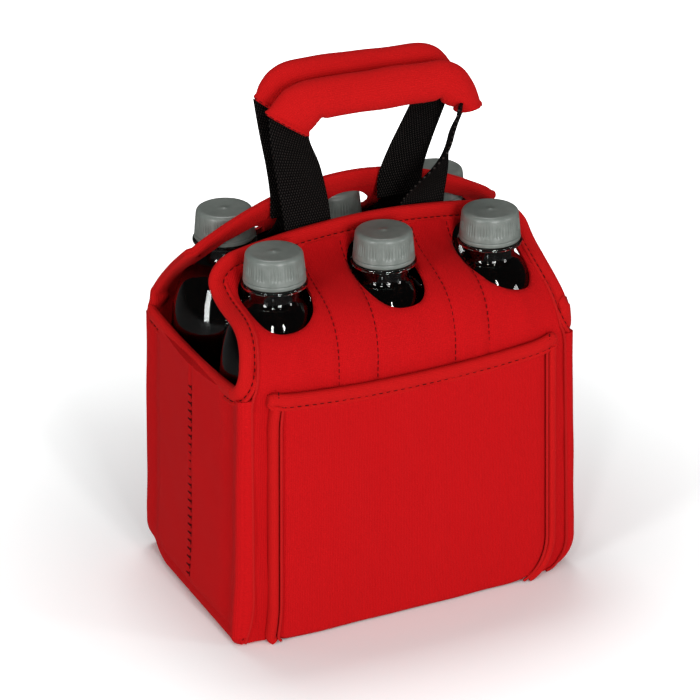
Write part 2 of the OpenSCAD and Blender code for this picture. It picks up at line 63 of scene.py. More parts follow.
def sum_up(tree, kind, a, b=None, c=None):
    node = tree.nodes.new("ShaderNodeMath")
    node.operation = kind
    for socket, value in zip(node.inputs, (a, b, c)):
        if value is None:
            continue
        if isinstance(value, (int, float)):
            socket.default_value = value
        else:
            tree.links.new(value, socket)
    return node.outputs[0]


def humps(tree, value):
    """Round humps from 0 to 1, one for each whole step of value."""
    return sum_up(tree, "ABSOLUTE", sum_up(tree, "SINE", sum_up(tree, "MULTIPLY", value, math.pi)))


def knit_face():
    """Wales and courses of a fine jersey: a height, and a light and dark speckle."""
    group, given, made = make_group(
        "knit face",
        [("Cloth", "NodeSocketVector", None), ("Wale", "NodeSocketFloat", 0.0009)],
        [("Height", "NodeSocketFloat"), ("Speckle", "NodeSocketFloat")])
    split = group.nodes.new("ShaderNodeSeparateXYZ")
    group.links.new(given.outputs["Cloth"], split.inputs[0])
    across = sum_up(group, "DIVIDE", split.outputs[0], given.outputs["Wale"])
    along = sum_up(group, "DIVIDE", split.outputs[1], given.outputs["Wale"])
    wale = humps(group, across)
    lean = sum_up(group, "MULTIPLY_ADD", wale, 0.7, sum_up(group, "MULTIPLY", along, 1.15 * math.pi))
    course = sum_up(group, "ABSOLUTE", sum_up(group, "SINE", lean))
    loops = sum_up(group, "MULTIPLY_ADD", course, 0.45, sum_up(group, "MULTIPLY", wale, 0.55))
    grain = group.nodes.new("ShaderNodeTexNoise")
    grain.inputs["Scale"].default_value = 1900.0
    grain.inputs["Detail"].default_value = 2.0
    group.links.new(given.outputs["Cloth"], grain.inputs["Vector"])
    fuzz = grain.outputs["Fac"]
    group.links.new(sum_up(group, "MULTIPLY_ADD", fuzz, 0.5, loops), made.inputs["Height"])
    fleck = sum_up(group, "MULTIPLY_ADD", fuzz, 0.7, sum_up(group, "MULTIPLY", loops, 0.3))
    group.links.new(fleck, made.inputs["Speckle"])
    return group


def rubbed_patches():
    """Broad, faint patches where the pile lies flat: a mask from 0 to 1."""
    group, given, made = make_group(
        "rubbed patches",
        [("Place", "NodeSocketVector", None), ("Size", "NodeSocketFloat", 40.0)],
        [("Mask", "NodeSocketFloat")])
    cloud = group.nodes.new("ShaderNodeTexNoise")
    cloud.inputs["Detail"].default_value = 4.0
    group.links.new(given.outputs["Place"], cloud.inputs["Vector"])
    group.links.new(given.outputs["Size"], cloud.inputs["Scale"])
    spread = group.nodes.new("ShaderNodeMapRange")
    spread.inputs["From Min"].default_value = 0.35
    spread.inputs["From Max"].default_value = 0.7
    group.links.new(cloud.outputs["Fac"], spread.inputs["Value"])
    group.links.new(spread.outputs["Result"], made.inputs["Mask"])
    return group


KNIT = knit_face()
PATCHES = rubbed_patches()


def place_group(tree, group, **values):
    node = tree.nodes.new("ShaderNodeGroup")
    node.node_tree = group
    for label, value in values.items():
        socket = node.inputs[label.replace("_", " ")]
        if isinstance(value, (int, float)):
            socket.default_value = value
        else:
            tree.links.new(value, socket)
    return node


def own_place(tree):
    return tree.nodes.new("ShaderNodeTexCoord").outputs["Object"]


def mix_colours(tree, factor, dark, light):
    node = tree.nodes.new("ShaderNodeMix")
    node.data_type = "RGBA"
    tree.links.new(factor, node.inputs["Factor"])
    for socket, value in zip((node.inputs[6], node.inputs[7]), (dark, light)):
        if isinstance(value, (tuple, list)):
            socket.default_value = (*value, 1.0)
        else:
            tree.links.new(value, socket)
    return node.outputs[2]


def new_surface(name, roughness, specular=0.5):
    material = bpy.data.materials.new(name)
    material.use_nodes = True
    shader = material.node_tree.nodes["Principled BSDF"]
    shader.inputs["Roughness"].default_value = roughness
    shader.inputs["Specular IOR Level"].default_value = specular
    return material, material.node_tree, shader


def raise_grain(tree, shader, height, strength, depth):
    relief = tree.nodes.new("ShaderNodeBump")
    relief.inputs["Strength"].default_value = strength
    relief.inputs["Distance"].default_value = depth
    tree.links.new(height, relief.inputs["Height"])
    tree.links.new(relief.outputs["Normal"], shader.inputs["Normal"])


def padded_knit(name, dark, light, worn, wale, bump):
    """The carrier's cloth: a fine knit that is a little duller where it is rubbed."""
    material, tree, shader = new_surface(name, roughness=0.86, specular=0.05)
    shader.inputs["Sheen Weight"].default_value = 0.02
    shader.inputs["Sheen Roughness"].default_value = 0.45
    shader.inputs["Sheen Tint"].default_value = (1.0, 0.42, 0.36, 1.0)
    cut = tree.nodes.new("ShaderNodeUVMap")
    cut.uv_map = "cut"
    knit = place_group(tree, KNIT, Cloth=cut.outputs[0], Wale=wale)
    rubbed = place_group(tree, PATCHES, Place=own_place(tree), Size=34.0)
    yarn = mix_colours(tree, knit.outputs["Speckle"], dark, light)
    weak = sum_up(tree, "MULTIPLY", rubbed.outputs["Mask"], 0.32)
    tree.links.new(mix_colours(tree, weak, yarn, worn), shader.inputs["Base Color"])
    raise_grain(tree, shader, knit.outputs["Height"], bump, 0.00035)
    return material


RED_CLOTH = padded_knit("red padded cloth", dark=(0.37, 0.0025, 0.0042), light=(0.60, 0.0066, 0.0086),
                        worn=(0.50, 0.0056, 0.0072), wale=0.0009, bump=0.7)


def sewing_thread(name, dark, light):
    material, tree, shader = new_surface(name, roughness=0.8, specular=0.1)
    twist = tree.nodes.new("ShaderNodeTexWave")
    twist.inputs["Scale"].default_value = 900.0
    tree.links.new(own_place(tree), twist.inputs["Vector"])
    tree.links.new(mix_colours(tree, twist.outputs["Fac"], dark, light), shader.inputs["Base Color"])
    raise_grain(tree, shader, twist.outputs["Fac"], 0.4, 0.0002)
    return material


DARK_THREAD = sewing_thread("dark sewing thread", (0.051, 0.0012, 0.00168), (0.085, 0.0020, 0.0028))

# Shapes are worked out in millimetres and written in metres.
MM = 0.001


def piece(name, points, faces, material, nodes=(), uv=None, body="carrier", sharp=60):
    """One finished piece of the object. uv is where each point lay on the flat cloth, in mm."""
    mesh = bpy.data.meshes.new(name)
    whole = [tuple(int(i) for i in f) for f in faces]
    mesh.from_pydata((np.asarray(points, float) * MM).tolist(), [], whole)
    mesh.update()
    for polygon in mesh.polygons:
        polygon.use_smooth = True
    mesh.set_sharp_from_angle(angle=math.radians(sharp))
    if uv is not None:
        layer = mesh.uv_layers.new(name="cut")
        corner = np.zeros(len(mesh.loops), int)
        mesh.loops.foreach_get("vertex_index", corner)
        layer.data.foreach_set("uv", (np.asarray(uv, float)[corner] * MM).ravel())
    made = bpy.data.objects.new(name, mesh)
    bpy.context.scene.collection.objects.link(made)
    mesh.materials.append(material)
    if nodes:
        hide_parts(*nodes)
    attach(made, body)
    return made


def unit(v):
    return v / np.maximum(np.linalg.norm(v, axis=-1, keepdims=True), 1e-9)


def unevenness(u, v, seed):
    """Soft hand-made unevenness, from -1 to 1, with waves of 20 to 70 mm."""
    return 0.4 * np.sin(u / 11 + 1.7 * seed + 1.3 * np.sin(v / 17 + seed)) \
        + 0.35 * np.sin(v / 9 - 2.1 * seed + np.sin(u / 13 - seed)) \
        + 0.25 * np.sin((u + v) / 6 + 3.3 * seed)


# The height at which a panel bends in, and the length of its flap above that
BEND_Z, FLAP_RUN = 142.0, 85.0
# Half the width at the top, from the middle to a seam, and the cloth's thickness
HALF_W, SEAM_D, WALL = 92.5, 60.8, 3.5
# From neck to neck, and from the middle to a row of necks
PITCH, ROW = 59.6, 30.5
# The flap's edge: its height at the sides, how far it arches above that in the
# middle, and how far it stands from the carrier's middle
EDGE_H, EDGE_Y = 193.0, 13.0
FRONT_ARCH, BACK_ARCH = 8.0, 22.0
# The radius at the foot of the body, and how much wider the body is there
FOOT_R, FLARE = 18.0, 4.6
END_H = 137.0


def crest(x, arch):
    return EDGE_H + arch * (1 - 0.9 * (x / 72.0) ** 2)


def panel_base(x, s, arch):
    """The panel's outer face at x and at s mm up its length, as it hangs in front.

    The back flap has nothing under its sides, so there it falls straight in, and
    the front flap does so a little on the right.
    """
    depth = SEAM_D + 3 * (1 - np.minimum(1, np.abs(x) / 86.9) ** 6)
    top = np.maximum(crest(x, arch), 188.6)
    t = np.clip((s - BEND_Z) / FLAP_RUN, 0, 1.2)
    a, b, c, d = (1 - t) ** 3, 3 * t * (1 - t) ** 2, 3 * t * t * (1 - t), t ** 3
    slack = np.clip((np.abs(x) - 50) / 38, 0, 1)
    most = np.where(arch == BACK_ARCH, 1.0, np.where(x > 0, 0.6, 0.0))
    slack = slack * slack * (3 - 2 * slack) * most
    y = -a * depth - b * (depth + slack * (52 - depth)) - c * (EDGE_Y + 20 * slack) - d * EDGE_Y
    z = a * BEND_Z + b * (BEND_Z + 48 - 27 * slack) + c * (top - 34 + slack * (206 - top)) + d * top
    return np.stack([x, np.where(s < BEND_Z, -depth, y), np.where(s < BEND_Z, s, z)], -1)


def panel_out(x, s, arch):
    e = 0.4
    right = panel_base(x + e, s, arch) - panel_base(x - e, s, arch)
    up = panel_base(x, s + e, arch) - panel_base(x, s - e, arch)
    return unit(np.cross(right, up))


def panel_at(x, s, arch, out=0.0):
    """A place on the panel at x and s, and out mm outside its face."""
    x, s = np.broadcast_arrays(np.asarray(x, float), np.asarray(s, float))
    return panel_base(x, s, arch) + np.asarray(out)[..., None] * panel_out(x, s, arch)


def body_half(z, d):
    """Half the body's width z mm up, d mm in from its edge, with its rounded foot."""
    r = FOOT_R - d
    low = np.maximum(0, FOOT_R - np.maximum(z, d))
    drawn = r - np.sqrt(np.maximum(0, r * r - low * low))
    return HALF_W + FLARE * (1 - np.maximum(z, FOOT_R) / END_H) - d - drawn


def back_seam(z):
    return body_half(z, 5.7)


def seam_left(z):
    """The front's left seam, which runs down almost straight and splays out at the floor."""
    return 86.4 + 1.8 * (1 - z / END_H) + 5.4 * np.maximum(0, 1 - z / 26) ** 2


def seam_right(z):
    low = np.clip((FOOT_R - z) / 16.8, 0, 1)
    return HALF_W + FLARE * (1 - np.maximum(z, FOOT_R) / END_H) - 5.7 - 12.3 * (1 - np.sqrt(1 - low ** 2))


# The flap's cloth from its bend to its edge, and the radius of its corners
EDGE_RUN = 102.0
FRONT_CORNER, BACK_CORNER = 16.0, 7.0


def edge_t(d):
    """Where a line d mm in from the flap's edge lies, from 0 at the bend to 1 at the edge."""
    return 1 - 1.12 * d / EDGE_RUN


def flap_half(t, d, r=FRONT_CORNER):
    """Half the flap's width at t, d mm in from its side, with corners of r mm."""
    top = edge_t(d)
    start = min(1 - r / EDGE_RUN, top - 0.01)
    c = np.clip((t - start) / (top - start), 0, 1)
    return HALF_W - 4.5 * np.sin(math.pi / 2 * np.minimum(1, 2 * t)) - d \
        - max(r - d, 0.3) * (1 - np.sqrt(1 - c ** 2))


# Sewn lines over the straps, as x at the flap's edge and x at the body
CHANNELS = [(-38.3, -40.6), (-16.6, -19.4), (23.4, 23.6), (43.2, 42.4)]


def channel_x(line, s):
    return line[0] + (line[1] - line[0]) * np.clip((218 - s) / 80, 0, 1)


def panel_side(s, seam, r):
    """Half width of a panel's face s mm up: to its seam below, to its folded edge above."""
    tuck = np.clip((s - 130) / 12, 0, 1) ** 2
    flap = flap_half((s - BEND_Z) / FLAP_RUN, 8.8, r)
    below = seam(np.minimum(s, BEND_Z)) - tuck * (seam(BEND_Z) - flap_half(0.0, 8.8, r))
    return np.where(s < BEND_Z, below, flap)


def height_at(x, y, arch):
    """How far up the panel its outer face reaches y, above its bend."""
    low, high = BEND_Z, BEND_Z + 0.93 * FLAP_RUN
    for _ in range(30):
        mid = (low + high) / 2
        if panel_base(np.array(x), np.array(mid), arch)[1] < y:
            low = mid
        else:
            high = mid
    return low


def hole_loop(cx, lean, arch, steps=84):
    """A neck hole's edge as x and s: round behind, drawn out towards the front."""
    middle = height_at(cx, -ROW, arch)
    foot, head = height_at(cx, -ROW - 25.4, arch), height_at(cx, -ROW + 15.4, arch)
    loop = []
    for a in np.linspace(0, 2 * math.pi, steps, endpoint=False):
        c, k = math.copysign(abs(math.cos(a)) ** 0.8, math.cos(a)), abs(math.sin(a)) ** 0.8
        if math.sin(a) >= 0:
            loop.append((cx + 17.0 * c, middle + (head - middle) * k))
        else:
            loop.append((cx + 16.8 * c + lean * k * k, middle - (middle - foot) * k))
    return np.array(loop)


def inside(points, loop):
    """Which of the points lie inside a closed loop."""
    x, y = points[:, 0:1], points[:, 1:2]
    ax, ay = loop[:, 0], loop[:, 1]
    bx, by = np.roll(ax, -1), np.roll(ay, -1)
    crossed = ((ay > y) != (by > y)) & (x < (bx - ax) * (y - ay) / (by - ay + 1e-12) + ax)
    return crossed.sum(1) % 2 == 1


def panel_relief(x, s, holes, seed):
    """How far the cloth stands out: dents along the stitches, swells over the straps,
    an edge pressed in round each hole and a few pulled creases under it."""
    lift = 0.45 * unevenness(x, s, seed)
    for line in CHANNELS:
        off = x - channel_x(line, s)
        fade = np.clip((s - 128) / 8, 0, 1)
        pucker = 1 + 0.5 * np.sin(s * 2 * math.pi / 4.4)
        lift -= fade * 0.75 * np.exp(-(off / 1.5) ** 2)
        lift += fade * 0.22 * np.exp(-((np.abs(off) - 3.6) / 2) ** 2) * pucker
    for left, right in (CHANNELS[:2], CHANNELS[2:]):
        mid = (channel_x(left, s) + channel_x(right, s)) / 2
        lift += 0.7 * np.exp(-((x - mid) / 7) ** 4) * np.clip((s - 128) / 12, 0, 1)
    for loop in holes:
        gap = np.sqrt(((np.stack([x, s], -1)[:, None, :] - loop[None]) ** 2).sum(-1)).min(1)
        lift -= 1.0 * np.exp(-(gap / 1.1) ** 2) + 0.5 * np.exp(-(gap / 6) ** 2)
        foot = loop[loop[:, 1].argmin()]
        below = np.clip((foot[1] - s) / 26, 0, 1)
        spread = (x - foot[0]) / (6 + 14 * below)
        lift += 0.5 * np.exp(-spread ** 2) * np.sin(below * math.pi) * np.cos(spread * 4.2)
    return lift


def rim_of(n, m):
    """Round the rim of a grid of n rows of m points."""
    return list(range(m)) + [i * m + m - 1 for i in range(1, n)] \
        + [(n - 1) * m + j for j in range(m - 2, -1, -1)] + [i * m for i in range(n - 2, 0, -1)]


def make_panel(name, node, arch, behind, lean, seed):
    """A panel is cut flat with its holes, given its two faces, and hung in its place."""
    round_off = BACK_CORNER if behind else FRONT_CORNER
    foot = 5.7 if behind else 1.2

    def left(s):
        splay = 0 if behind else 2.5 * np.maximum(0, 1 - s / 12)
        return panel_side(s, back_seam if behind else seam_left, round_off) + splay

    def right(s):
        return panel_side(s, back_seam if behind else seam_right, round_off)

    rows = np.linspace(foot, BEND_Z + FLAP_RUN * 0.902, 92)
    u = np.linspace(0, 1, 79)
    under = np.minimum(rows, rows[-1] - 0.3)
    grid = np.array([(-left(h) * (1 - v) + right(h) * v, s) for s, h in zip(rows, under) for v in u])
    holes = [hole_loop(cx, k, arch) for cx, k in zip((-PITCH, 0.0, PITCH), lean)]
    keep = np.ones(len(grid), bool)
    for loop in holes:
        centre = loop.mean(0)
        out = loop - centre
        wider = centre + out * (1 + 1.2 / np.linalg.norm(out, axis=1, keepdims=True))
        keep &= ~inside(grid, wider)
    rim = rim_of(len(rows), len(u))
    place = np.cumsum(keep) - 1
    flat = [tuple(p) for p in grid[keep]]
    edges = [(int(place[a]), int(place[b])) for a, b in zip(rim, rim[1:] + rim[:1])]
    for loop in holes:
        first = len(flat)
        flat += [tuple(p) for p in loop]
        edges += [(first + i, first + (i + 1) % len(loop)) for i in range(len(loop))]
    verts, _, tris, *_ = delaunay_2d_cdt(flat, edges, [], 0, 1e-5)
    points = np.array([tuple(v) for v in verts])
    tris = np.array(tris)
    middle = points[tris].mean(1)
    good = (middle[:, 0] <= right(middle[:, 1]) + 0.02) & (middle[:, 0] >= -left(middle[:, 1]) - 0.02)
    for loop in holes:
        good &= ~inside(middle, loop)
    tris = tris[good]
    a, b, c = (points[tris[:, k]] for k in range(3))
    turn = (b - a)[:, 0] * (c - a)[:, 1] - (b - a)[:, 1] * (c - a)[:, 0]
    tris[turn < 0] = tris[turn < 0][:, ::-1]
    tris = tris[np.abs(turn) > 1e-6]
    x, s = points.T
    outer = panel_at(x, s, arch, panel_relief(x, s, holes, seed))
    inner = panel_at(x, s, arch, np.full(len(x), -WALL))
    solid = np.concatenate([outer, inner])
    count = len(points)
    seen = {(t[k], t[(k + 1) % 3]): True for t in tris for k in range(3)}
    border = [(p, q) for p, q in seen if (q, p) not in seen]
    faces = [tuple(t) for t in tris] + [tuple(t[::-1] + count) for t in tris] \
        + [(q, p, p + count, q + count) for p, q in border]
    if behind:
        solid[:, 1] *= -1
        faces = [f[::-1] for f in faces]
    piece(name, solid, faces, RED_CLOTH, [node], uv=np.concatenate([points, points]))


make_panel("front_panel_cloth", "front_panel", FRONT_ARCH, behind=False, lean=(-3.0, 1.6, 3.0), seed=1.0)
make_panel("back_panel_cloth", "back_panel", BACK_ARCH, behind=True, lean=(3.0, -1.6, -3.0), seed=4.0)


# Stitched channels: two pairs of lines are sewn down each panel, which hold the
# straps inside it. The thread is dark red and sinks into the padding.
def thread_row(points, outs, pitch, length, width, sink, crosswise=False):
    """Stitches along a line: one slim bead of thread for each, half sunk in the cloth."""
    points, outs = np.asarray(points, float), np.asarray(outs, float)
    step = np.linalg.norm(np.diff(points, axis=0), axis=1)
    run = np.concatenate([[0], np.cumsum(step)])
    at = np.arange(pitch / 2, run[-1], pitch)
    centre = np.stack([np.interp(at, run, points[:, k]) for k in range(3)], -1)
    out = unit(np.stack([np.interp(at, run, outs[:, k]) for k in range(3)], -1))
    ahead = unit(np.stack([np.interp(at + 0.5, run, way) - np.interp(at - 0.5, run, way)
                           for way in points.T], -1))
    side = unit(np.cross(out, ahead))
    if crosswise:
        ahead, side = side, -ahead
    verts, faces = [], []
    ring = [(math.cos(a), math.sin(a)) for a in np.arange(6) * math.pi / 3]
    for c, o, f, b in zip(centre, out, ahead, side):
        first = len(verts)
        base = c - o * sink
        verts.append(base - f * length / 2)
        for k, swell in ((-0.32, 0.85), (0.32, 0.85)):
            verts += [base + f * length * k + (b * p + o * q) * width / 2 * swell for p, q in ring]
        verts.append(base + f * length / 2)
        for i in range(6):
            j = (i + 1) % 6
            faces += [(first, first + 1 + j, first + 1 + i),
                      (first + 1 + i, first + 1 + j, first + 7 + j, first + 7 + i),
                      (first + 13, first + 7 + i, first + 7 + j)]
    return verts, faces


def sew(name, rows, body="carrier"):
    verts, faces = [], []
    for more_verts, more_faces in rows:
        faces += [tuple(i + len(verts) for i in f) for f in more_faces]
        verts += list(more_verts)
    piece(name, verts, faces, DARK_THREAD, body=body, sharp=180)


TO_THE_BACK, TO_THE_RIGHT = (1, -1, 1), (-1, 1, 1)


def mirrored(rows, flip=TO_THE_BACK):
    return [([np.array(v) * flip for v in verts], [f[::-1] for f in faces]) for verts, faces in rows]


def channel_rows(arch, lowest):
    rows = []
    for line in CHANNELS:
        s = np.linspace(lowest, 216, 70)
        x = channel_x(line, s)
        sunk = panel_at(x, s, arch, np.full(len(s), -0.42))
        rows.append(thread_row(sunk, panel_out(x, s, arch), pitch=3.4, length=2.5, width=0.5, sink=0.05))
    return rows


sew("front_channel_stitches", channel_rows(FRONT_ARCH, 128))
sew("back_channel_stitches", mirrored(channel_rows(BACK_ARCH, 70)))


# End strip: one strip of the same cloth goes down the left end, under the base
# and up the right end. It turns in towards both panels, so that a soft roll
# stands outside each seam, and each end has a butted seam down its middle.
def run_length(points):
    """How far along a line each of its points is."""
    return np.concatenate([[0], np.cumsum(np.linalg.norm(np.diff(points, axis=0), axis=1))])


def tube_faces(n, m):
    """Faces of a tube of n rings of m points."""
    return [(i * m + j, i * m + (j + 1) % m, (i + 1) * m + (j + 1) % m, (i + 1) * m + j)
            for i in range(n - 1) for j in range(m)]


def end_faces(n, m):
    return [tuple(range(m - 1, -1, -1)), tuple((n - 1) * m + j for j in range(m))]


def sweep(points, outs, profile, seed=0.0, wobble=0.0):
    """A section carried along a line. profile is [across, outwards] in mm, or one per point."""
    points, outs = np.asarray(points, float), np.asarray(outs, float)
    n = len(points)
    along = unit(np.gradient(points, axis=0))
    across = unit(np.cross(along, outs))
    out = np.cross(across, along)
    profile = np.asarray(profile, float)
    if profile.ndim == 2:
        profile = np.broadcast_to(profile, (n,) + profile.shape)
    m = profile.shape[1]
    run = run_length(points)
    swell = 1 + wobble * unevenness(run * 2, run, seed)
    verts = points[:, None] + profile[..., 0:1] * across[:, None] \
        + (profile[..., 1] * swell[:, None])[..., None] * out[:, None]
    girth = run_length(profile[n // 2])
    uv = np.stack(np.broadcast_arrays(girth[None, :], run[:, None]), -1).reshape(-1, 2)
    faces = [(a, d, c, b) for a, b, c, d in tube_faces(n, m)]
    faces += [tuple(range(m)), tuple((n - 1) * m + j for j in range(m - 1, -1, -1))]
    return verts.reshape(-1, 3), faces, uv


def end_top(y):
    """Height of an end's upper edge, which dips in its middle."""
    return END_H + 5 * np.minimum(1, np.abs(y) / SEAM_D) ** 2


def strip_section():
    """Outer side from the front seam to the back seam, then the inner side back."""
    turn = np.radians(np.linspace(-38, 90, 12))
    roll = np.stack([57.7 + 3.9 * np.cos(turn), -3.9 + 4.3 * np.sin(turn)], -1)
    flat_y = np.linspace(55, 0, 40)
    front = np.concatenate([roll, np.stack([flat_y, np.zeros(40)], -1)])
    outer = np.concatenate([front * (-1, 1), front[-2::-1]])
    hollow = np.array([[60.2, -6.3], [57.4, -5.9], [56.6, -4.6], [55, -WALL], [30, -WALL], [0, -WALL]])
    inner = np.concatenate([hollow, (hollow * (-1, 1))[-2::-1]])
    return outer, inner


# The seam down an end lies a little in front of its middle
SEAM_Y = -6.5


def end_side(z, splay):
    """How far an end's face stands from the middle at height z; splay is its spread at the floor."""
    return HALF_W + FLARE * (1 - np.maximum(z, 0) / END_H) + splay * np.maximum(0, 1 - z / 45) ** 2


# How far the left end spreads at the floor, and the height where the strip stops
# inside the folded edge
LEFT_SPLAY, STRIP_TOP = 2.2, 133.5


def strip_path(y):
    """Down the left end, along the base and up the right end, at y mm from the middle.

    Each row holds x, z, the outward direction in x and z, and how much the point
    belongs to an end's face and to the foot, from 0 to 1.
    """
    back = np.clip((y - 30) / 31, 0, 1) ** 1.5
    r_left, r_right = 5 + 11 * back, 17.0
    down = np.linspace(0, 1, 46)
    bend = np.radians(np.linspace(0, 90, 14))[1:-1]
    rows = []
    for side, r, splay in ((-1, r_left, LEFT_SPLAY * (1 - back)), (1, r_right, 0.0)):
        z = STRIP_TOP + (r - STRIP_TOP) * down
        x = end_side(z, splay)
        level = np.zeros(46)
        wall = np.stack([side * x, z, level + side, level, np.clip((z - r) / 10, 0, 1), level], -1)
        turn_x, turn_z = x[-1] - r + r * np.cos(bend), r * (1 - np.sin(bend))
        turn = np.stack([side * turn_x, turn_z, side * np.cos(bend), -np.sin(bend), 0 * bend,
                         bend / 1.58], -1)
        flat = np.linspace(x[-1] - r, 0, 16)
        base = np.stack([side * flat, 0 * flat, 0 * flat, 0 * flat - 1, 0 * flat, 0 * flat + 1], -1)
        half = np.concatenate([wall, turn, base])
        rows.append(half if side < 0 else half[-2::-1])
    return np.concatenate(rows)


outer, inner = strip_section()
columns = []
for j, (y, q) in enumerate(np.concatenate([outer, inner])):
    x, z, nx, nz, face, foot = strip_path(y).T
    run = np.concatenate([[0], np.cumsum(np.hypot(np.diff(x), np.diff(z)))])
    edge = np.clip((abs(y) - 55) / 2, 0, 1)
    depth = q * (1 - 0.7 * foot * edge) + 0 * run
    if y < -54:
        # the roll fills the space between the end and the front's left seam
        above = np.maximum(z, 2)
        room = end_side(above, LEFT_SPLAY) - seam_left(above) + 0.5
        depth = np.where(x < 0, depth * np.maximum(1, (room + 1.2) / 6.4), depth)
    y_out = y - np.sign(y) * foot * edge * 1.0 + 0 * run
    if j < len(outer):
        # the face is highest along its butted seam, which is drawn in itself
        calm = np.clip(1 - (abs(y) - 50) / 6, 0, 1)
        near = (y - SEAM_Y) / (60 + np.sign(y) * 6)
        ridge = 3.2 * max(0, 1 - abs(near)) ** 1.3 - 0.9 * math.exp(-((y - SEAM_Y) / 1.1) ** 2)
        hollow = -1.7 * math.exp(-((abs(y) - 49) / 6) ** 2)
        crease = -1.3 * np.exp(-((z - 7.5) / 1.8) ** 2) * (x < 0)
        depth += calm * face * (ridge + hollow + 0.45 * unevenness(y + 0 * run, run, 2.0))
        depth += calm * crease
        depth += 0.28 * edge * face * unevenness(run, y + 0 * run, 5.0)
    up = np.clip((z - 122) / 11.5, 0, 1)
    rise = (end_top(y) - END_H - 2.5 * np.clip((abs(y) - 51) / 6, 0, 1)) * up
    columns.append(np.stack([x + nx * depth, y_out, z + nz * depth + rise, 0 * x + y, run], -1))
rings = np.stack(columns, 1)
rings[..., 2] = np.maximum(rings[..., 2], 0.05)
n, m = rings.shape[:2]
piece("end_and_base_cloth", rings[..., :3].reshape(-1, 3), tube_faces(n, m) + end_faces(n, m), RED_CLOTH,
      ["end_and_base_strip"], uv=rings[..., 3:].reshape(-1, 2))

# The butted seam is held by a ladder of stitches across it and a row beside it.
ladder = []
for side, splay in ((-1, LEFT_SPLAY), (1, 0.0)):
    z = np.linspace(124, 15, 60)
    outward = np.tile([side, 0, 0], (60, 1))
    line = np.stack([side * (end_side(z, splay) + 3.05), SEAM_Y + 1.4 + 0 * z, z], -1)
    ladder.append(thread_row(line, outward, pitch=4.6, length=4.6, width=0.85, sink=0.1, crosswise=True))
    ladder.append(thread_row(line + (0, -2.2, 0), outward, pitch=4.6, length=3.4, width=0.5, sink=0.12))
sew("end_ladder_stitches", ladder)

# Folded edges: the free edges of flaps and ends are folded over and sewn down
# 8 mm in. Round each mouth the fold runs from a flap's side into the end's upper
# edge without a break, and a thin turned-under lip shows inside the stitches.
ROLLED_CLOTH = padded_knit("red folded edge", dark=(0.39, 0.0035, 0.0045), light=(0.58, 0.0095, 0.0095),
                           worn=(0.50, 0.0075, 0.0080), wale=0.0010, bump=0.6)
# The fold's section, from its outer edge in over the lip and back underneath
FOLD = np.array([(4.0, 0), (3.85, 1.05), (3.3, 1.85), (2.4, 2.4), (1.0, 2.65), (-0.6, 2.55),
                 (-2.0, 2.15), (-2.8, 1.65), (-3.2, 1.35), (-3.6, 1.6), (-4.3, 2.1), (-4.9, 2.15),
                 (-5.4, 1.7), (-5.6, 1.2), (-5.6, -1.5), (-4.4, -2.0), (-2.4, -2.2), (-0.8, -2.5),
                 (0.8, -2.6), (2.2, -2.4), (3.3, -1.85), (3.85, -1.05)])
MIDDLE_OF_CLOTH = -WALL / 2


def corner_turn(x, s, arch, steps):
    """The fold's way from a flap's side round into the end, on the left in front."""
    p0 = panel_at(np.array(x), np.array(s), arch, np.array(MIDDLE_OF_CLOTH))
    p1, p2 = p0 + (0, 0, -9), np.array([-91.3, -60.2, 137.6])
    p3 = np.array([-91.6, -49.5, end_top(49.5) - 4])
    t = np.linspace(0, 1, steps)[1:, None]
    line = (1 - t) ** 3 * p0 + 3 * t * (1 - t) ** 2 * p1 + 3 * t * t * (1 - t) * p2 + t ** 3 * p3
    turn = np.radians(90 * np.clip(t * 1.15 - 0.1, 0, 1))
    return line, np.concatenate([-np.sin(turn), -np.cos(turn), 0 * turn], -1)


def flap_edge_line(d, r):
    """Up a flap's left side, along its edge and down its right side, d mm in."""
    top = edge_t(d)
    start = 1 - r / EDGE_RUN
    climb = [(-flap_half(t, d, r), t) for t in np.linspace(0.1, start, 26)]
    round_it = start + (top - start) * np.sin(np.radians(np.arange(9, 90, 9)))
    bend = [(-flap_half(t, d, r), t) for t in round_it]
    half = flap_half(top, d, r)
    across = [(x, top) for x in np.linspace(-half, half, 60)]
    walk = climb + bend + across + [(-x, t) for x, t in bend[::-1] + climb[::-1]]
    x, t = np.array(walk, float).T
    return x, BEND_Z + FLAP_RUN * t


def sweep_offset(points, outs, across_by, out_by):
    """A line moved sideways and outwards, in the directions that sweep uses."""
    along = unit(np.gradient(points, axis=0))
    across = unit(np.cross(along, outs))
    return across * across_by + np.cross(across, along) * out_by


def hem_stitches(line, outs, across_by):
    hem = line + sweep_offset(line, outs, across_by, 1.62)
    return [thread_row(hem, outs, pitch=3.6, length=2.3, width=0.6, sink=0.02)]


def flap_fold(name, node, arch, behind, seed):
    x, s = flap_edge_line(4.0, BACK_CORNER + 3 if behind else FRONT_CORNER)
    line = panel_at(x, s, arch, np.full(len(x), MIDDLE_OF_CLOTH))
    outs = panel_out(x, s, arch)
    turn, turn_outs = corner_turn(x[0], s[0], arch, 14)
    line = np.concatenate([turn[::-1], line, turn * TO_THE_RIGHT])
    outs = np.concatenate([turn_outs[::-1], outs, turn_outs * TO_THE_RIGHT])
    verts, faces, uv = sweep(line, outs, FOLD * (-1, 1), seed=seed, wobble=0.05)
    rows = hem_stitches(line, outs, 3.3)
    if behind:
        verts, rows = verts * TO_THE_BACK, mirrored(rows)
    else:
        faces = [f[::-1] for f in faces]
    piece(name, verts, faces, ROLLED_CLOTH, [node], uv=uv)
    sew(name + "_stitches", rows)


flap_fold("front_flap_fold", "front_flap_binding", FRONT_ARCH, behind=False, seed=1.0)
flap_fold("back_flap_fold", "back_flap_binding", BACK_ARCH, behind=True, seed=2.0)

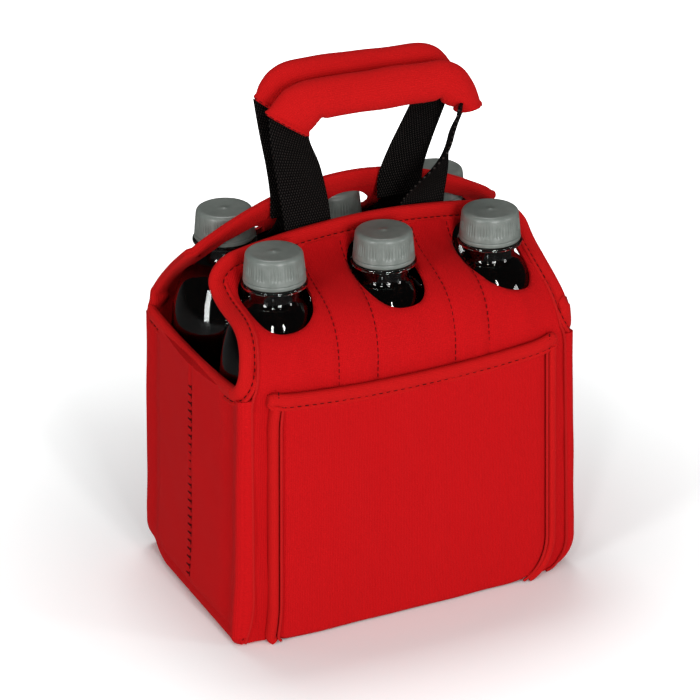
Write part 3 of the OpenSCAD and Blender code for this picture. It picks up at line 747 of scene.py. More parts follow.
for side, node in ((-1, "left_end_binding"), (1, "right_end_binding")):
    y = np.linspace(-51.5, 51.5, 40)
    line = np.stack([-91.6 + 0.6 * (1 - (y / 51.5) ** 2), y, end_top(y) - 4], -1)
    outs = np.tile([-1.0, 0, 0], (40, 1))
    verts, faces, uv = sweep(line, outs, FOLD, seed=3.0 + side, wobble=0.05)
    rows = hem_stitches(line, outs, -3.3)
    if side == 1:
        verts, faces, rows = verts * TO_THE_RIGHT, [f[::-1] for f in faces], mirrored(rows, TO_THE_RIGHT)
    name = node.replace("binding", "fold")
    piece(name, verts, faces, ROLLED_CLOTH, [node], uv=uv)
    sew(name + "_stitches", rows)

# Seam cords: a thin cord covered in the same knit is caught in the seam between a
# panel and the strip. It follows the panel up to its flap, where the folded
# edge takes over.
CORD_CLOTH = padded_knit("red seam cord", dark=(0.36, 0.005, 0.006), light=(0.52, 0.012, 0.012),
                         worn=(0.45, 0.010, 0.010), wale=0.0007, bump=0.4)
ROUND = np.stack([np.cos(np.arange(10) * math.pi / 5), np.sin(np.arange(10) * math.pi / 5)], -1)


def join(parts):
    """Several lengths of [points, faces, cut] as one piece."""
    verts, faces, uv = [], [], []
    for more_verts, more_faces, more_uv in parts:
        faces += [tuple(i + len(verts) for i in f) for f in more_faces]
        verts, uv = verts + list(more_verts), uv + list(more_uv)
    return verts, faces, uv


def seam_line(seam, r, heights):
    """The cord's way up a seam and a little way into the flap's folded edge."""
    into_flap = BEND_Z + FLAP_RUN * np.linspace(0.02, 0.3, 10)
    s = np.concatenate([heights, np.linspace(20, 141, 44), into_flap])
    return -panel_side(s, seam, r) - 0.1, s


turn = np.radians(np.arange(90, -1, -7.5))
for name, arch, behind in (("front_seam_cord", FRONT_ARCH, False), ("back_seam_cord", BACK_ARCH, True)):
    if behind:
        x, s = seam_line(back_seam, BACK_CORNER, FOOT_R - 12.4 * np.sin(turn))
        foot = np.linspace(x[0], -x[0], 40)[1:-1]
        lines = [(np.concatenate([x[::-1], foot, -x]), np.concatenate([s[::-1], np.full(38, s[0]), s]))]
    else:
        x, s = seam_line(seam_left, FRONT_CORNER, np.linspace(1.4, FOOT_R, 10))
        far, far_s = seam_line(seam_right, FRONT_CORNER, FOOT_R - 16.8 * np.sin(turn))
        lines = [(x, s), (-far[::-1], far_s[::-1])]
    lengths = []
    for x, s in lines:
        line = panel_at(x, s, arch, np.full(len(x), 0.25))
        verts, faces, uv = sweep(line, panel_out(x, s, arch), ROUND * 0.8)
        if behind:
            verts, faces = verts * TO_THE_BACK, [f[::-1] for f in faces]
        lengths.append((verts, faces, uv))
    verts, faces, uv = join(lengths)
    piece(name, verts, faces, CORD_CLOTH, [name.replace("cord", "piping")], uv=uv)

# Pocket: a flat pocket almost as wide as the front is sewn over it. Its sides are
# turned out to a soft roll with a fine cord inside, and its mouth has a folded,
# stitched hem that sags a little in the middle.
POCKET_H, MOUTH_DIP = 139.0, 4.0


def pocket_left(z):
    """The pocket's outer edge on the left: almost straight, with a nearly square foot."""
    low = np.clip((5.2 - z) / 4.4, 0, 1)
    return 78.6 + 2.2 * (1 - z / POCKET_H) + 2.4 * np.maximum(0, 1 - z / 24) ** 2 \
        - 3.4 * (1 - np.sqrt(1 - low ** 2))


def pocket_right(z):
    """On the right its foot is drawn round under the carrier."""
    low = np.clip((25 - z) / 24, 0, 1)
    return 79.3 + 3.2 * (1 - z / POCKET_H) - 18 * (1 - np.sqrt(1 - low ** 2))


def mouth(x):
    """Height of the pocket's mouth at x."""
    return POCKET_H - MOUTH_DIP * (1 - (x / 78) ** 2)


def two_faced(outer, inner, cut):
    """A cloth with its two faces given as grids of points, closed round its rim."""
    n, m = outer.shape[:2]
    behind = n * m
    faces = []
    for i in range(n - 1):
        for j in range(m - 1):
            a = i * m + j
            faces += [(a, a + 1, a + m + 1, a + m),
                      (a + behind, a + m + behind, a + m + 1 + behind, a + 1 + behind)]
    rim = rim_of(n, m)
    faces += [(b, a, a + behind, b + behind) for a, b in zip(rim, rim[1:] + rim[:1])]
    return np.concatenate([outer.reshape(-1, 3), inner.reshape(-1, 3)]), faces, \
        np.concatenate([cut.reshape(-1, 2)] * 2)


levels = np.concatenate([[1.0, 1.5, 2.2, 3.2, 4.6, 6.4], np.linspace(8.6, POCKET_H - 7.5, 54)])
u = np.linspace(0, 1, 61)
outer, inner, cut = [], [], []
for z in levels:
    left, right = pocket_left(z) - 6.6, pocket_right(z) - 6.6
    x = right * u - left * (1 - u)
    level = z + (mouth(x) - POCKET_H) * (z / levels[-1]) ** 3
    near = np.minimum(x + left, right - x)
    puff = 1.1 * (1 - np.abs(2 * u - 1) ** 5) * math.sin(math.pi * min(1, z / 50) / 2)
    lift = 3.5 + puff + 0.5 * unevenness(x, level, 7.0) * (1 - np.exp(-near / 6)) \
        - 0.7 * np.exp(-(near / 1.6) ** 2) - 1.3 * math.exp(-((z - 1) / 1.2) ** 2)
    outer.append(panel_at(x, level, FRONT_ARCH, lift))
    inner.append(panel_at(x, level, FRONT_ARCH, np.full(61, 1.4)))
    cut.append(np.stack([x, level], -1))
verts, faces, uv = two_faced(np.array(outer), np.array(inner), np.array(cut))
piece("pocket_cloth", verts, faces, RED_CLOTH, ["pocket_face"], uv=uv)


def pocket_lines(d, top):
    """Both sides of the pocket, d mm in from its outer edge, from the mouth down."""
    z = np.concatenate([np.linspace(top, 6, 40), [5, 3.8, 2.6, 1.2]])
    turn = np.radians(np.arange(0, 81, 6.0))
    z_right = np.concatenate([np.linspace(top, 27, 34), 25 - 24 * np.sin(turn)])
    bend = 1.7 * np.clip((z - top + 16) / 16, 0, 1) ** 2
    return [(-(pocket_left(z) - d - bend), z), (pocket_right(z_right) - d, z_right)]


SIDE_ROLL = np.array([(2.35, 0.3), (2.5, 1.5), (2.35, 3.0), (1.75, 4.1), (0.7, 4.7), (-0.6, 4.75),
                      (-1.7, 4.2), (-2.4, 3.1), (-2.7, 1.8), (-2.6, 0.3)])


def down_both_sides(d, top, lift, section, width):
    """A roll or cord d mm in from the pocket's sides, lift mm outside the front panel."""
    lengths = []
    for (x, z), way in zip(pocket_lines(d, top), (1, -1)):
        line = panel_at(x, z, FRONT_ARCH, np.full(len(x), lift))
        verts, faces, uv = sweep(line, panel_out(x, z, FRONT_ARCH), section * (-way * width, width),
                                 seed=6.0, wobble=0.04)
        verts[:, 2] = np.maximum(verts[:, 2], 0.15)
        if way > 0:
            faces = [f[::-1] for f in faces]
        lengths.append((verts, faces, uv))
    return join(lengths)


verts, faces, uv = down_both_sides(2.45, 133.0, 0.0, SIDE_ROLL, 1.0)
piece("pocket_side_roll", verts, faces, ROLLED_CLOTH, ["pocket_edge_roll"], uv=uv)
verts, faces, uv = down_both_sides(5.75, 134.0, 3.6, ROUND, 0.78)
piece("pocket_seam_cord", verts, faces, CORD_CLOTH, ["pocket_piping"], uv=uv)

# The mouth's hem is a folded edge with raised corners, tacked down at both ends.
MOUTH_FOLD = np.array([(4.0, 2.4), (3.9, 3.6), (3.2, 4.6), (2.0, 5.1), (0.4, 5.2), (-1.2, 4.9),
                       (-2.1, 4.5), (-2.6, 4.1), (-3.0, 4.4), (-3.6, 4.8), (-4.3, 4.6), (-4.7, 3.9),
                       (-4.6, 1.2), (-3.6, 0.6), (0, 0.5), (2.6, 0.7), (3.7, 1.5)])
LEFT_END, RIGHT_END = -79.2, 79.6
x = np.linspace(LEFT_END, RIGHT_END, 76)
ends = np.clip(np.minimum(x - LEFT_END, RIGHT_END - x) / 3.0, 0, 1)
size = 0.6 + 0.4 * np.sqrt(1 - (1 - ends) ** 2)
shape = MOUTH_FOLD[None] * np.stack([size, 0.35 + 0.65 * size], -1)[:, None, :]
s = mouth(x) - 4.0 + 2.0 * np.clip((x - 66) / 13.6, 0, 1) ** 2 + 1.2 * np.clip((-70 - x) / 9, 0, 1)
line, outs = panel_at(x, s, FRONT_ARCH, np.zeros(76)), panel_out(x, s, FRONT_ARCH)
LEFT_TACK, RIGHT_TACK = -74.2, 74.6
dent = 1 - 0.22 * (np.exp(-((x - LEFT_TACK) / 1.0) ** 2) + np.exp(-((x - RIGHT_TACK) / 1.0) ** 2))
shape = shape * (-1, 1) * np.stack([1 + 0 * dent, dent], -1)[:, None, :]
verts, faces, uv = sweep(line, outs, shape, seed=8.0, wobble=0.05)
piece("pocket_mouth_fold", verts, [f[::-1] for f in faces], ROLLED_CLOTH,
      ["pocket_hem"], uv=uv)
keep = slice(3, 73)
hem = (line + sweep_offset(line, outs, 2.6, 4.05))[keep]
rows = [thread_row(hem, outs[keep], pitch=4.0, length=2.4, width=0.8, sink=0.0)]
for place, top in ((LEFT_TACK, 141.5), (RIGHT_TACK, 140)):
    level = np.linspace(131, top, 8)
    over_fold = np.where(np.abs(level - 136) < 4.4, 4.25, 3.4)
    tack = panel_at(np.full(8, place), level, FRONT_ARCH, over_fold)
    rows.append(thread_row(tack, np.tile([0, -1.0, 0], (8, 1)), pitch=2.6, length=2.0, width=0.75,
                           sink=0.0))
sew("pocket_mouth_stitches", rows)

# Inside: a thin black sheet of knit stands between the two rows, so
# that the bottles don't knock, and a stiff plastic board keeps the base flat.
# the sheet's black is painted shade, standing in for the deep shade seen between the rows
PARTITION_SHADE_BLACK = padded_knit("partition knit black as painted shade", dark=(0.006, 0.006, 0.007), light=(0.016, 0.016, 0.017),
                           worn=(0.012, 0.012, 0.012), wale=0.0009, bump=0.4)
x = np.linspace(-85.5, 85.5, 40)
levels = np.concatenate([[5.9], np.linspace(8, 121, 20), [122.6, 123.5]])
thick = np.concatenate([[0.9], np.full(20, 1.0), [0.9, 0.35]])
front, back = (np.array([[(a, side * t + 0.3 * math.sin(a / 14 + z / 23), z) for a in x]
                         for z, t in zip(levels, thick)]) for side in (-1, 1))
verts, faces, uv = two_faced(front, back, front[..., [0, 2]])
piece("row_partition", verts, faces, PARTITION_SHADE_BLACK, ["partition"], uv=uv)


def patchy_colour(tree, shader, size, dark, light):
    """Colour for moulded or poured stuff, with faint patches. Returns their mask."""
    patches = place_group(tree, PATCHES, Place=own_place(tree), Size=size)
    tree.links.new(mix_colours(tree, patches.outputs["Mask"], dark, light), shader.inputs["Base Color"])
    return patches.outputs["Mask"]


def recolour(node, material):
    """A piece whose solid is shown as it is gets its material only."""
    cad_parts[node].data.materials.clear()
    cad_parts[node].data.materials.append(material)


BOARD, tree, shader = new_surface("base board plastic", roughness=0.6)
patchy_colour(tree, shader, 220.0, (0.03, 0.03, 0.03), (0.055, 0.055, 0.055))
recolour("base_board", BOARD)


# Webbing: each handle is one length of black woven webbing, 25 mm wide. It is sewn
# inside a panel under the channels and comes up inside the flap's edge on its
# way through the grip. The near right leg has a quarter twist in it.
def webbing_weave():
    """A plain weave with slanted floats: a height, and a painted glint on the thread ends."""
    group, given, made = make_group(
        "webbing weave",
        [("Strap", "NodeSocketVector", None), ("Pick", "NodeSocketFloat", 0.0016)],
        [("Height", "NodeSocketFloat"), ("Glint", "NodeSocketFloat")])
    split = group.nodes.new("ShaderNodeSeparateXYZ")
    group.links.new(given.outputs["Strap"], split.inputs[0])
    across = sum_up(group, "DIVIDE", split.outputs[0], given.outputs["Pick"])
    along = sum_up(group, "DIVIDE", split.outputs[1], given.outputs["Pick"])
    row = sum_up(group, "FLOOR", along)
    shifted = sum_up(group, "MULTIPLY_ADD", row, 0.5, across)
    float_up, pick_up = humps(group, shifted), humps(group, along)
    height = sum_up(group, "MULTIPLY", float_up, pick_up)
    group.links.new(height, made.inputs["Height"])
    # the glint is a painted highlight: a mask of the thread ends that lightens the colour
    valley = sum_up(group, "SUBTRACT", 1.0, float_up)
    tip = sum_up(group, "POWER", sum_up(group, "MULTIPLY", valley, pick_up), 3.0)
    glint = sum_up(group, "MINIMUM", sum_up(group, "MULTIPLY", tip, 2.2), 1.0)
    group.links.new(glint, made.inputs["Glint"])
    return group


WEBBING, tree, shader = new_surface("black woven webbing", roughness=0.6, specular=0.06)
strap_uv = tree.nodes.new("ShaderNodeUVMap")
strap_uv.uv_map = "cut"
weave = place_group(tree, webbing_weave(), Strap=strap_uv.outputs[0], Pick=0.0014)
# the Glint mask paints small highlights into the webbing's black
tree.links.new(mix_colours(tree, weave.outputs["Glint"], (0.0008, 0.0007, 0.0007), (0.034, 0.028, 0.025)),
               shader.inputs["Base Color"])
raise_grain(tree, shader, weave.outputs["Height"], 0.7, 0.0005)
# The strap's section: 25.4 mm by 1.5 mm, with rounded edges
STRAP = np.array([(-12.7, 0), (-12.5, 0.45), (-11.9, 0.72), (-6, 0.75), (0, 0.75), (6, 0.75),
                  (11.9, 0.72), (12.5, 0.45), (12.7, 0), (12.5, -0.45), (11.9, -0.72), (6, -0.75), (0, -0.75),
                  (-6, -0.75), (-11.9, -0.72), (-12.5, -0.45)])


def smooth_run(keys, per):
    """A smooth curve through rows of numbers, with per steps between neighbours."""
    keys = np.asarray(keys, float)
    padded = np.concatenate([[2 * keys[0] - keys[1]], keys, [2 * keys[-1] - keys[-2]]])
    rows = []
    for i in range(1, len(padded) - 2):
        p0, p1, p2, p3 = padded[i - 1:i + 3]
        for t in np.linspace(0, 1, per, endpoint=False):
            rows.append(0.5 * (2 * p1 + (p2 - p0) * t + (2 * p0 - 5 * p1 + 4 * p2 - p3) * t * t
                               + (3 * p1 - p0 - 3 * p2 + p3) * t ** 3))
    return np.array(rows + [keys[-1]])


def strap_leg(keys):
    """keys: x, y, z, turn about the strap's run, slant of its width. Both in degrees."""
    run = smooth_run(keys, 10)
    centre, turn, slant = run[:, :3], np.radians(run[:, 3]), np.radians(run[:, 4])
    width = np.stack([np.cos(turn) * np.cos(slant), np.sin(turn), np.cos(turn) * np.sin(slant)], -1)
    along = unit(np.gradient(centre, axis=0))
    out = unit(np.cross(width, along))
    verts = centre[:, None] + STRAP[None, :, 0:1] * width[:, None] + STRAP[None, :, 1:2] * out[:, None]
    n, m = verts.shape[:2]
    uv = np.stack(np.broadcast_arrays(STRAP[None, :, 0], run_length(centre)[:, None]), -1).reshape(-1, 2)
    return verts.reshape(-1, 3), tube_faces(n, m) + end_faces(n, m), uv


def handle_straps(name, node, left, right):
    """Both legs of a handle. They bend just above the flap's edge, where the handle folds."""
    verts, faces, uv = join([strap_leg(left), strap_leg(right)])
    made = piece(name, verts, faces, WEBBING, [node], uv=uv)
    made.parent = None
    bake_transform(made)


handle_straps(
    "front_handle_strap", "front_handle_webbing",
    [(-30.6, -8.2, 186, 0, 0), (-30.8, -7.5, 199, 0, 0), (-32.5, -7.2, 212, 0, 0),
     (-35.8, -7.0, 230, 0, -10), (-39.4, -6.8, 247, 0, -29), (-39.6, -6.7, 255, 0, -35)],
    [(32.4, -8.2, 186, 0, 0), (32.8, -7.5, 199, 2, 0), (38.5, -7.3, 211, 24, 4), (47.5, -6.5, 226, 58, 6),
     (54.0, -6.0, 239, 54, 4), (58.4, -6.3, 250, 46, 0)])
handle_straps(
    "back_handle_strap", "back_handle_webbing",
    [(-31.5, 8.2, 198, 0, 0), (-31.8, 7.5, 211, 0, 0), (-34.0, 7.2, 226, 0, -6),
     (-38.0, 6.9, 242, 0, -18), (-42.0, 6.8, 257, 0, -32)],
    [(27.8, 8.2, 198, 0, 0), (28.4, 7.5, 211, 0, 0), (34.0, 7.2, 226, 0, 6), (41.5, 6.9, 242, 0, 14),
     (47.0, 6.8, 256, 0, 26)])


# Below its bend the webbing runs on inside the panel, to half way down the body.
for name, node, arch, behind in (("front_sewn_strap", "front_strap_tails", FRONT_ARCH, False),
                                 ("back_sewn_strap", "back_strap_tails", BACK_ARCH, True)):
    s = np.linspace(72, BEND_Z + 0.9 * FLAP_RUN, 60)
    tails = []
    for left, right in (CHANNELS[:2], CHANNELS[2:]):
        mid = (channel_x(left, s) + channel_x(right, s)) / 2
        line = panel_at(mid, s, arch, np.full(60, -WALL - 1.9))
        tails.append(sweep(line, panel_out(mid, s, arch), STRAP))
    verts, faces, uv = join(tails)
    if behind:
        verts = np.array(verts) * TO_THE_BACK
    else:
        faces = [f[::-1] for f in faces]
    piece(name, verts, faces, WEBBING, [node], uv=uv)


# Grips: each handle has a padded sleeve of the red cloth, rolled round the webbing,
# with a turned and stitched hem at both mouths and slack folds where it bends.
def grip(name, node, body, y0, keys, folds, seed):
    """keys: x, z, half height, half depth, and the way its mouth faces in degrees.

    folds: where along the sleeve, on which side, how wide and how deep.
    """
    run = smooth_run(keys, 9)
    n, m = len(run), 40
    x, z, h, d, face = run.T
    a = np.radians(face)
    side = np.stack([np.cos(a), 0 * a, np.sin(a)], -1)
    turn = np.arange(m) * 2 * math.pi / m
    length = np.concatenate([[0], np.cumsum(np.hypot(np.diff(x), np.diff(z)))])
    # a roll that is a little flat-sided rather than round
    c, k = np.sign(np.cos(turn)) * np.abs(np.cos(turn)) ** 0.9, np.sin(turn)
    lump = 0.35 * unevenness(length[:, None] * 1.6, turn[None] * 14, seed)
    swell = np.ones((n, m))
    for where, angle, wide, pinch in folds:
        along = length[:, None] / length[-1] - where - 0.012 * np.sin(turn[None] - angle)
        swell -= pinch * np.exp(-(along / wide) ** 2) * np.clip(0.4 + np.cos(turn[None] - angle), 0, 1.2)
    up = (h[:, None] * c[None] * swell + lump * c[None])
    deep = (d[:, None] * k[None] * swell + lump * k[None])
    verts = np.stack([x[:, None] + side[:, 0:1] * up, y0 + deep, z[:, None] + side[:, 2:3] * up], -1)
    # each mouth is turned in, to a little over half its size
    turned_in = [np.stack([x[i] + side[i, 0] * up[i] * 0.55, y0 + deep[i] * 0.45,
                           z[i] + side[i, 2] * up[i] * 0.55], -1) for i in (0, n - 1)]
    verts = np.concatenate([turned_in[0][None], verts, turned_in[1][None]])
    s = np.concatenate([[-3], length, [length[-1] + 3]])
    uv = np.stack(np.broadcast_arrays((turn * 9)[None], s[:, None]), -1).reshape(-1, 2)
    piece(name, verts.reshape(-1, 3), tube_faces(n + 2, m), ROLLED_CLOTH, [node],
          uv=uv, body=body, sharp=70)
    rows = []
    for i in (7, n - 6):
        ring = np.concatenate([verts[i], verts[i][:1]])
        outs = ring - verts[i].mean(0)
        rows.append(thread_row(ring, outs, pitch=3.4, length=2.4, width=0.7, sink=0.12))
    sew(name + "_stitches", rows, body)


grip("front_grip_roll", "front_grip", "front_handle", -6.8,
     [(-41.3, 252.2, 12.8, 4.4, -35), (-40.8, 253.2, 14.2, 5.8, -35), (-39.7, 254.9, 13.2, 4.8, -36),
      (-37.6, 257.2, 12.9, 5.8, -41), (-33.6, 260.6, 12.6, 6.4, -54), (-27.0, 262.8, 11.2, 6.8, -76),
      (-14.0, 263.2, 10.6, 6.6, -89), (10.0, 262.9, 10.6, 6.5, -90), (34.0, 262.1, 10.4, 6.5, -90),
      (43.6, 261.6, 10.6, 6.6, -99), (49.6, 258.6, 10.3, 6.5, -119), (54.0, 253.6, 8.8, 6.2, -140),
      (57.0, 249.2, 7.4, 5.8, -160), (58.5, 246.6, 6.9, 5.6, -168), (58.8, 245.3, 7.7, 6.2, -172),
      (58.9, 244.3, 6.8, 5.2, -174)],
     folds=[(0.19, 0.0, 0.02, 0.09), (0.80, 0.5, 0.025, 0.12)], seed=3.0)
grip("back_grip_roll", "back_grip", "back_handle", 6.8,
     [(-41.7, 255.2, 12.8, 4.2, -38), (-41.2, 256.4, 13.8, 5.4, -38), (-40.6, 258.0, 13.2, 4.8, -39),
      (-39.2, 261.4, 13.2, 5.8, -44), (-36.0, 265.6, 13.0, 6.4, -58), (-30.0, 269.0, 11.6, 6.8, -78),
      (-15.0, 269.5, 10.9, 6.6, -89), (8.0, 268.5, 10.8, 6.5, -90), (28.0, 267.8, 10.6, 6.5, -90),
      (38.4, 266.8, 10.8, 6.6, -98), (43.6, 263.6, 11.4, 6.4, -116), (47.0, 258.0, 11.6, 5.6, -136),
      (48.6, 254.6, 11.8, 4.8, -144), (49.1, 253.4, 12.4, 5.2, -146), (49.6, 252.2, 11.6, 4.2, -146)],
     folds=[(0.18, 0.0, 0.02, 0.08), (0.84, 0.4, 0.03, 0.08)], seed=9.0)

# Bottles: six clear blown bottles with a moulded neck, which has a thread and a ring
# to hold it by. The wall is thin and glossy and a little green. They are full of
# a dark drink up to the ring.
CLEAR, tree, shader = new_surface("clear bottle plastic", roughness=0.03)
shader.inputs["IOR"].default_value = 1.57
shader.inputs["Transmission Weight"].default_value = 1.0
mask = patchy_colour(tree, shader, 120.0, (0.80, 0.93, 0.90), (0.86, 0.95, 0.93))
raise_grain(tree, shader, mask, 0.06, 0.0006)

DRINK, tree, shader = new_surface("dark drink", roughness=0.06, specular=0.25)
patchy_colour(tree, shader, 60.0, (0.0030, 0.0012, 0.0010), (0.0055, 0.0018, 0.0014))


def lathe(profile, sides, ripple=None):
    """A profile of [radius, height] turned about the upright axis."""
    profile = np.asarray(profile, float)
    turn = np.arange(sides) * 2 * math.pi / sides
    r = np.broadcast_to(profile[:, 0:1], (len(profile), sides)).copy()
    if ripple is not None:
        r += ripple(profile, turn)
    verts = np.stack([r * np.cos(turn), r * np.sin(turn), np.broadcast_to(profile[:, 1:2], r.shape)], -1)
    return verts.reshape(-1, 3), tube_faces(len(profile), sides)


def rounded(points, r, steps=4):
    """A profile with its inner corners rounded to at most r."""
    points = np.asarray(points, float)
    made = [points[0]]
    for a, b, c in zip(points, points[1:], points[2:]):
        back, on = np.linalg.norm(a - b), np.linalg.norm(c - b)
        k = min(r, 0.45 * back, 0.45 * on)
        p, q = b + (a - b) / back * k, b + (c - b) / on * k
        made += [(1 - t) ** 2 * p + 2 * t * (1 - t) * b + t * t * q for t in np.linspace(0, 1, steps)]
    return np.array(made + [points[-1]])


# How high a bottle stands on the strip and its board. Heights below are its own.
FLOOR_Z = 5.7
BOTTLE_R, BOTTLE_WALL = 29.0, 0.6
BORE_R, THREAD_R, THREAD_CREST, RING_R = 10.95, 12.45, 13.6, 16.5


def shoulder(r, inset):
    """The dome between the body and the neck, which is straight first and then turns in."""
    a, b, c, d = np.array([(r, 122.0), (r, 145.0), (22.5 - inset, 161.2 - inset),
                           (13.05 - inset, 167.2 - inset)])
    k = np.linspace(0, 1, 26)[:, None]
    return (1 - k) ** 3 * a + 3 * k * (1 - k) ** 2 * b + 3 * k * k * (1 - k) * c + k ** 3 * d


heel = [(22 + 7 * math.sin(a), 7 * (1 - math.cos(a))) for a in np.radians(np.arange(0, 91, 9))]
neck = rounded([(12.55, 169.2), (THREAD_R, 174.9), (RING_R, 175.3), (RING_R, 176.9), (THREAD_R, 177.1),
                (THREAD_R, 181.4), (THREAD_CREST, 182.2), (THREAD_CREST, 183.2), (THREAD_R, 183.8),
                (THREAD_R, 184.6), (THREAD_CREST, 185.2), (THREAD_CREST, 186.2), (THREAD_R, 186.8),
                (THREAD_R, 190.4), (12.1, 190.6), (BORE_R, 190.6)], 0.35)
outside = np.concatenate([[(0.01, 4.0), (14.5, 2.5), (17.98, 0.2)], heel,
                          [(BOTTLE_R, z) for z in (40, 41, 60, 80, 100)], shoulder(BOTTLE_R, 0), neck])
wall_r = BOTTLE_R - BOTTLE_WALL
inside_wall = np.concatenate([[(BORE_R, 186.0), (BORE_R, 168.4)], shoulder(wall_r, BOTTLE_WALL)[::-1],
                              [(wall_r, 60.0), (wall_r, 8.0), (22.0, 0.9), (17.9, 0.9), (14.5, 3.1),
                               (0.01, 4.6)]])
bottle_verts, bottle_faces = lathe(np.concatenate([outside, inside_wall]) + (0, FLOOR_Z), 96)
fill_line = np.concatenate([[(0.01, 4.7), (14.5, 3.2), (18, 1.0), (22, 1.0), (28.5, 8.0)],
                            shoulder(28.5, 0.5),
                            [(11.2, 168.4), (11.2, 173.2), (10.9, 173.6), (0.01, 173.6)]])
drink_verts, drink_faces = lathe(fill_line + (0, FLOOR_Z), 72)


def stands_at(k):
    """Bottles 1 to 3 stand in front from left to right, 4 to 6 behind."""
    return np.array([((k - 1) % 3 - 1) * PITCH, -ROW if k <= 3 else ROW, 0.0])


for k in range(1, 7):
    at = stands_at(k)
    piece(f"bottle_{k}_clear", bottle_verts + at, bottle_faces, CLEAR, [f"bottle_{k}"],
          sharp=50)
    piece(f"bottle_{k}_drink", drink_verts + at, drink_faces, DRINK, [f"drink_{k}"])

# Screw caps: a moulded grey-green cap with fine grip ribs that fade out above and
# below, a rounded top edge and a small gate mark in the middle. Under it sits the
# smooth band that stays on the neck, and inside it a pale soft seal.
CLOSURE, tree, shader = new_surface("grey closure plastic", roughness=0.38, specular=0.75)
patchy_colour(tree, shader, 260.0, (0.150, 0.172, 0.156), (0.182, 0.204, 0.186))
skin = tree.nodes.new("ShaderNodeTexNoise")
skin.inputs["Scale"].default_value = 2600.0
tree.links.new(own_place(tree), skin.inputs["Vector"])
raise_grain(tree, shader, skin.outputs["Fac"], 0.12, 0.0002)
CAP_FOOT = 185.5


def cap_ribs(profile, turn):
    """Fine ribs in groups of five, deepest half way up the cap's side."""
    z = profile[:, 1:2] - CAP_FOOT
    fade = np.clip((z - 1.9) / 1.6, 0, 1) * np.clip((11.2 - z) / 4.5, 0, 1) * (profile[:, 0:1] > 13.4)
    ribs = np.abs(np.sin(turn * 30)) ** 0.7
    group = 0.65 + 0.35 * np.cos(turn * 12)
    return -0.42 * fade * (ribs * group)[None] + 0.02 * fade


edge = [(14.45 - 2.3 * (1 - math.sin(a)), 196.25 + 2.3 * math.cos(a))
        for a in np.radians(np.arange(90, -1, -9))]
cap_side = [(15.5 - 0.08 * k, CAP_FOOT + 0.84 * k) for k in np.linspace(0, 12.6, 22)]
cap_profile = np.concatenate([[(13.9, CAP_FOOT), (15.25, CAP_FOOT)], cap_side, edge[1:],
                              [(10.6, 198.5), (9.9, 198.42), (4.0, 198.38), (1.3, 198.36), (0.9, 198.6),
                               (0.01, 198.65)]])
cap_verts, cap_faces = lathe(cap_profile, 360, cap_ribs)
inner_verts, inner_faces = lathe([(0.01, 197.2), (13.85, 197.2), (13.9, CAP_FOOT)], 48)
cap_faces = cap_faces + [tuple(i + len(cap_verts) for i in f) for f in inner_faces]
cap_verts = np.concatenate([cap_verts, inner_verts])
band_verts, band_faces = lathe(rounded([(12.75, 182.9), (15.2, 182.8), (15.6, 183.4), (15.65, 184.6),
                                        (15.35, 185.3), (13.3, 185.35), (12.75, 184.0)], 0.3), 96)
SEAL, tree, shader = new_surface("pale seal", roughness=0.5)
patchy_colour(tree, shader, 300.0, (0.7, 0.7, 0.67), (0.8, 0.8, 0.78))

for k in range(1, 7):
    at = stands_at(k)
    # no two caps were screwed on to the same place
    c, d = math.cos(math.radians(37 * k)), math.sin(math.radians(37 * k))
    turned = cap_verts @ np.array([[c, d, 0], [-d, c, 0], [0, 0, 1]])
    piece(f"bottle_{k}_band", band_verts + at, band_faces, CLOSURE, [f"tamper_band_{k}"])
    piece(f"cap_{k}_shell", turned + at, cap_faces, CLOSURE, [f"cap_{k}"],
          body=f"cap_turn_{k}")
    recolour(f"cap_seal_{k}", SEAL)

# Floor and light: a white studio floor without gloss, its colour painted darker near the carrier
# as shade and dark in reflections, and soft boxes in front, at both sides and above, two of them small
# and high for the highlights. The room is dim, so that black plastic stays black.
FLOOR, tree, shader = new_surface("studio floor", roughness=0.8, specular=0.05)
path_kind = tree.nodes.new("ShaderNodeLightPath")
# in reflections the floor's colour is painted dark, so glossy parts reflect a dark floor
tone = mix_colours(tree, path_kind.outputs["Is Glossy Ray"], (0.9, 0.9, 0.9), (0.12, 0.12, 0.12))
reach = tree.nodes.new("ShaderNodeVectorMath")
reach.operation = "LENGTH"
tree.links.new(own_place(tree), reach.inputs[0])
spread = tree.nodes.new("ShaderNodeMapRange")
spread.inputs["From Min"].default_value = 0.1
spread.inputs["From Max"].default_value = 0.6
tree.links.new(reach.outputs["Value"], spread.inputs["Value"])
# seen by the camera it keeps its shadow near the carrier and clears to white away from it; near the carrier
# the colour is also painted lower and a little cyan, a painted shade that deepens the shadow and hides the
# red bounce
white = mix_colours(tree, spread.outputs["Result"], (1.05, 1.1, 1.1), (3.0, 3.0, 3.0))
seen = mix_colours(tree, path_kind.outputs["Is Camera Ray"], tone, white)
tree.links.new(seen, shader.inputs["Base Color"])
bpy.ops.mesh.primitive_plane_add(size=14, location=(0, 0, 0))
floor = bpy.context.object
floor.name = "studio_floor"
floor.data.materials.append(FLOOR)

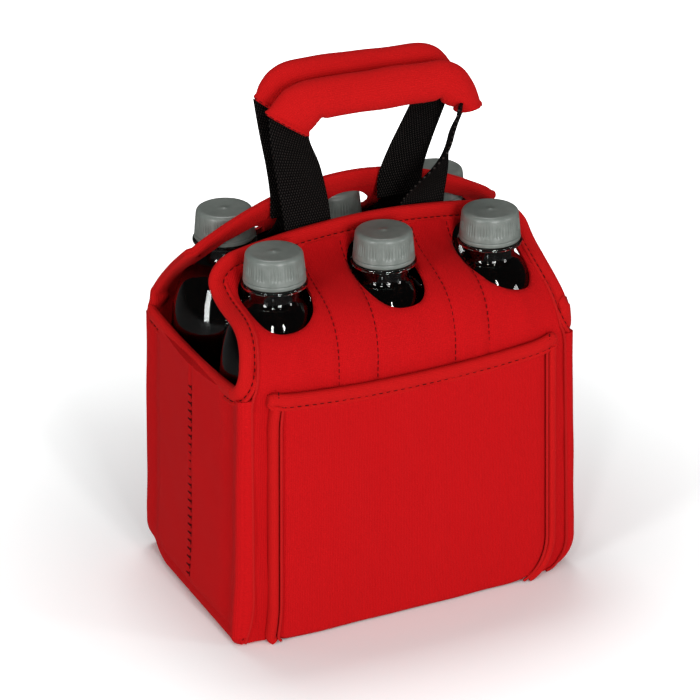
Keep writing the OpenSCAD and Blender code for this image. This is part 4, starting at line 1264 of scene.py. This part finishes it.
world = bpy.data.worlds.new("studio")
bpy.context.scene.world = world
world.use_nodes = True
tree = world.node_tree
air = tree.nodes["Background"]
path_kind = tree.nodes.new("ShaderNodeLightPath")
dim = sum_up(tree, "MULTIPLY_ADD", path_kind.outputs["Is Glossy Ray"], -0.18, 0.2)
glow = sum_up(tree, "MULTIPLY_ADD", path_kind.outputs["Is Camera Ray"], 0.8, dim)
tree.links.new(glow, air.inputs["Strength"])
air.inputs["Color"].default_value = (1, 1, 1, 1)


def soft_box(name, place, aim_z, size, power):
    """A rectangular lamp at place, turned to a point aim_z above the middle of the floor."""
    lamp = bpy.data.lights.new(name, "AREA")
    lamp.shape = "RECTANGLE"
    lamp.size, lamp.size_y = size
    lamp.energy = power
    box = bpy.data.objects.new(name, lamp)
    box.location = place
    away = np.array(place) - (0, 0, aim_z)
    yaw = math.atan2(away[0], -away[1])
    box.rotation_euler = (math.pi / 2 - math.atan2(away[2], math.hypot(away[0], away[1])), 0, yaw)
    bpy.context.scene.collection.objects.link(box)


soft_box("key box", (-0.15, -1.95, 0.5), 0.12, (0.5, 1.0), 17.2)
soft_box("fill box", (1.5, -1.4, 0.5), 0.12, (0.4, 1.0), 8)
soft_box("left box", (-1.7, -0.7, 0.5), 0.12, (0.35, 1.0), 12)
soft_box("high left window", (-0.8, -1.15, 1.3), 0.15, (0.14, 0.42), 3.2)
soft_box("high front window", (0.0, -1.35, 1.35), 0.15, (0.1, 0.34), 2.2)
soft_box("top box", (0.1, 0.6, 1.9), 0.1, (0.8, 0.6), 10)

# The camera stands where the photograph was taken from, 1.6 m from the carrier.
camera = bpy.data.objects.new("camera", bpy.data.cameras.new("camera"))
bpy.context.scene.collection.objects.link(camera)
bpy.context.scene.camera = camera
azimuth, elevation, roll = math.radians(-25.38), math.radians(25.46), math.radians(-0.46)
back = np.array([math.sin(azimuth) * math.cos(elevation), -math.cos(azimuth) * math.cos(elevation),
                 math.sin(elevation)])
right = unit(np.cross(-back, (0, 0, 1)))
up = np.cross(right, -back)
right, up = right * math.cos(roll) + up * math.sin(roll), up * math.cos(roll) - right * math.sin(roll)
spot = np.array([-0.00451, 0, 0.12011]) + back * 1.6
camera.matrix_world = Matrix([(right[i], up[i], back[i], spot[i]) for i in range(3)] + [(0, 0, 0, 1)])
camera.data.sensor_width = 36
camera.data.lens = 3115.89 * 36 / 700
camera.data.clip_end = 50
bpy.context.scene.view_settings.view_transform = "Standard"
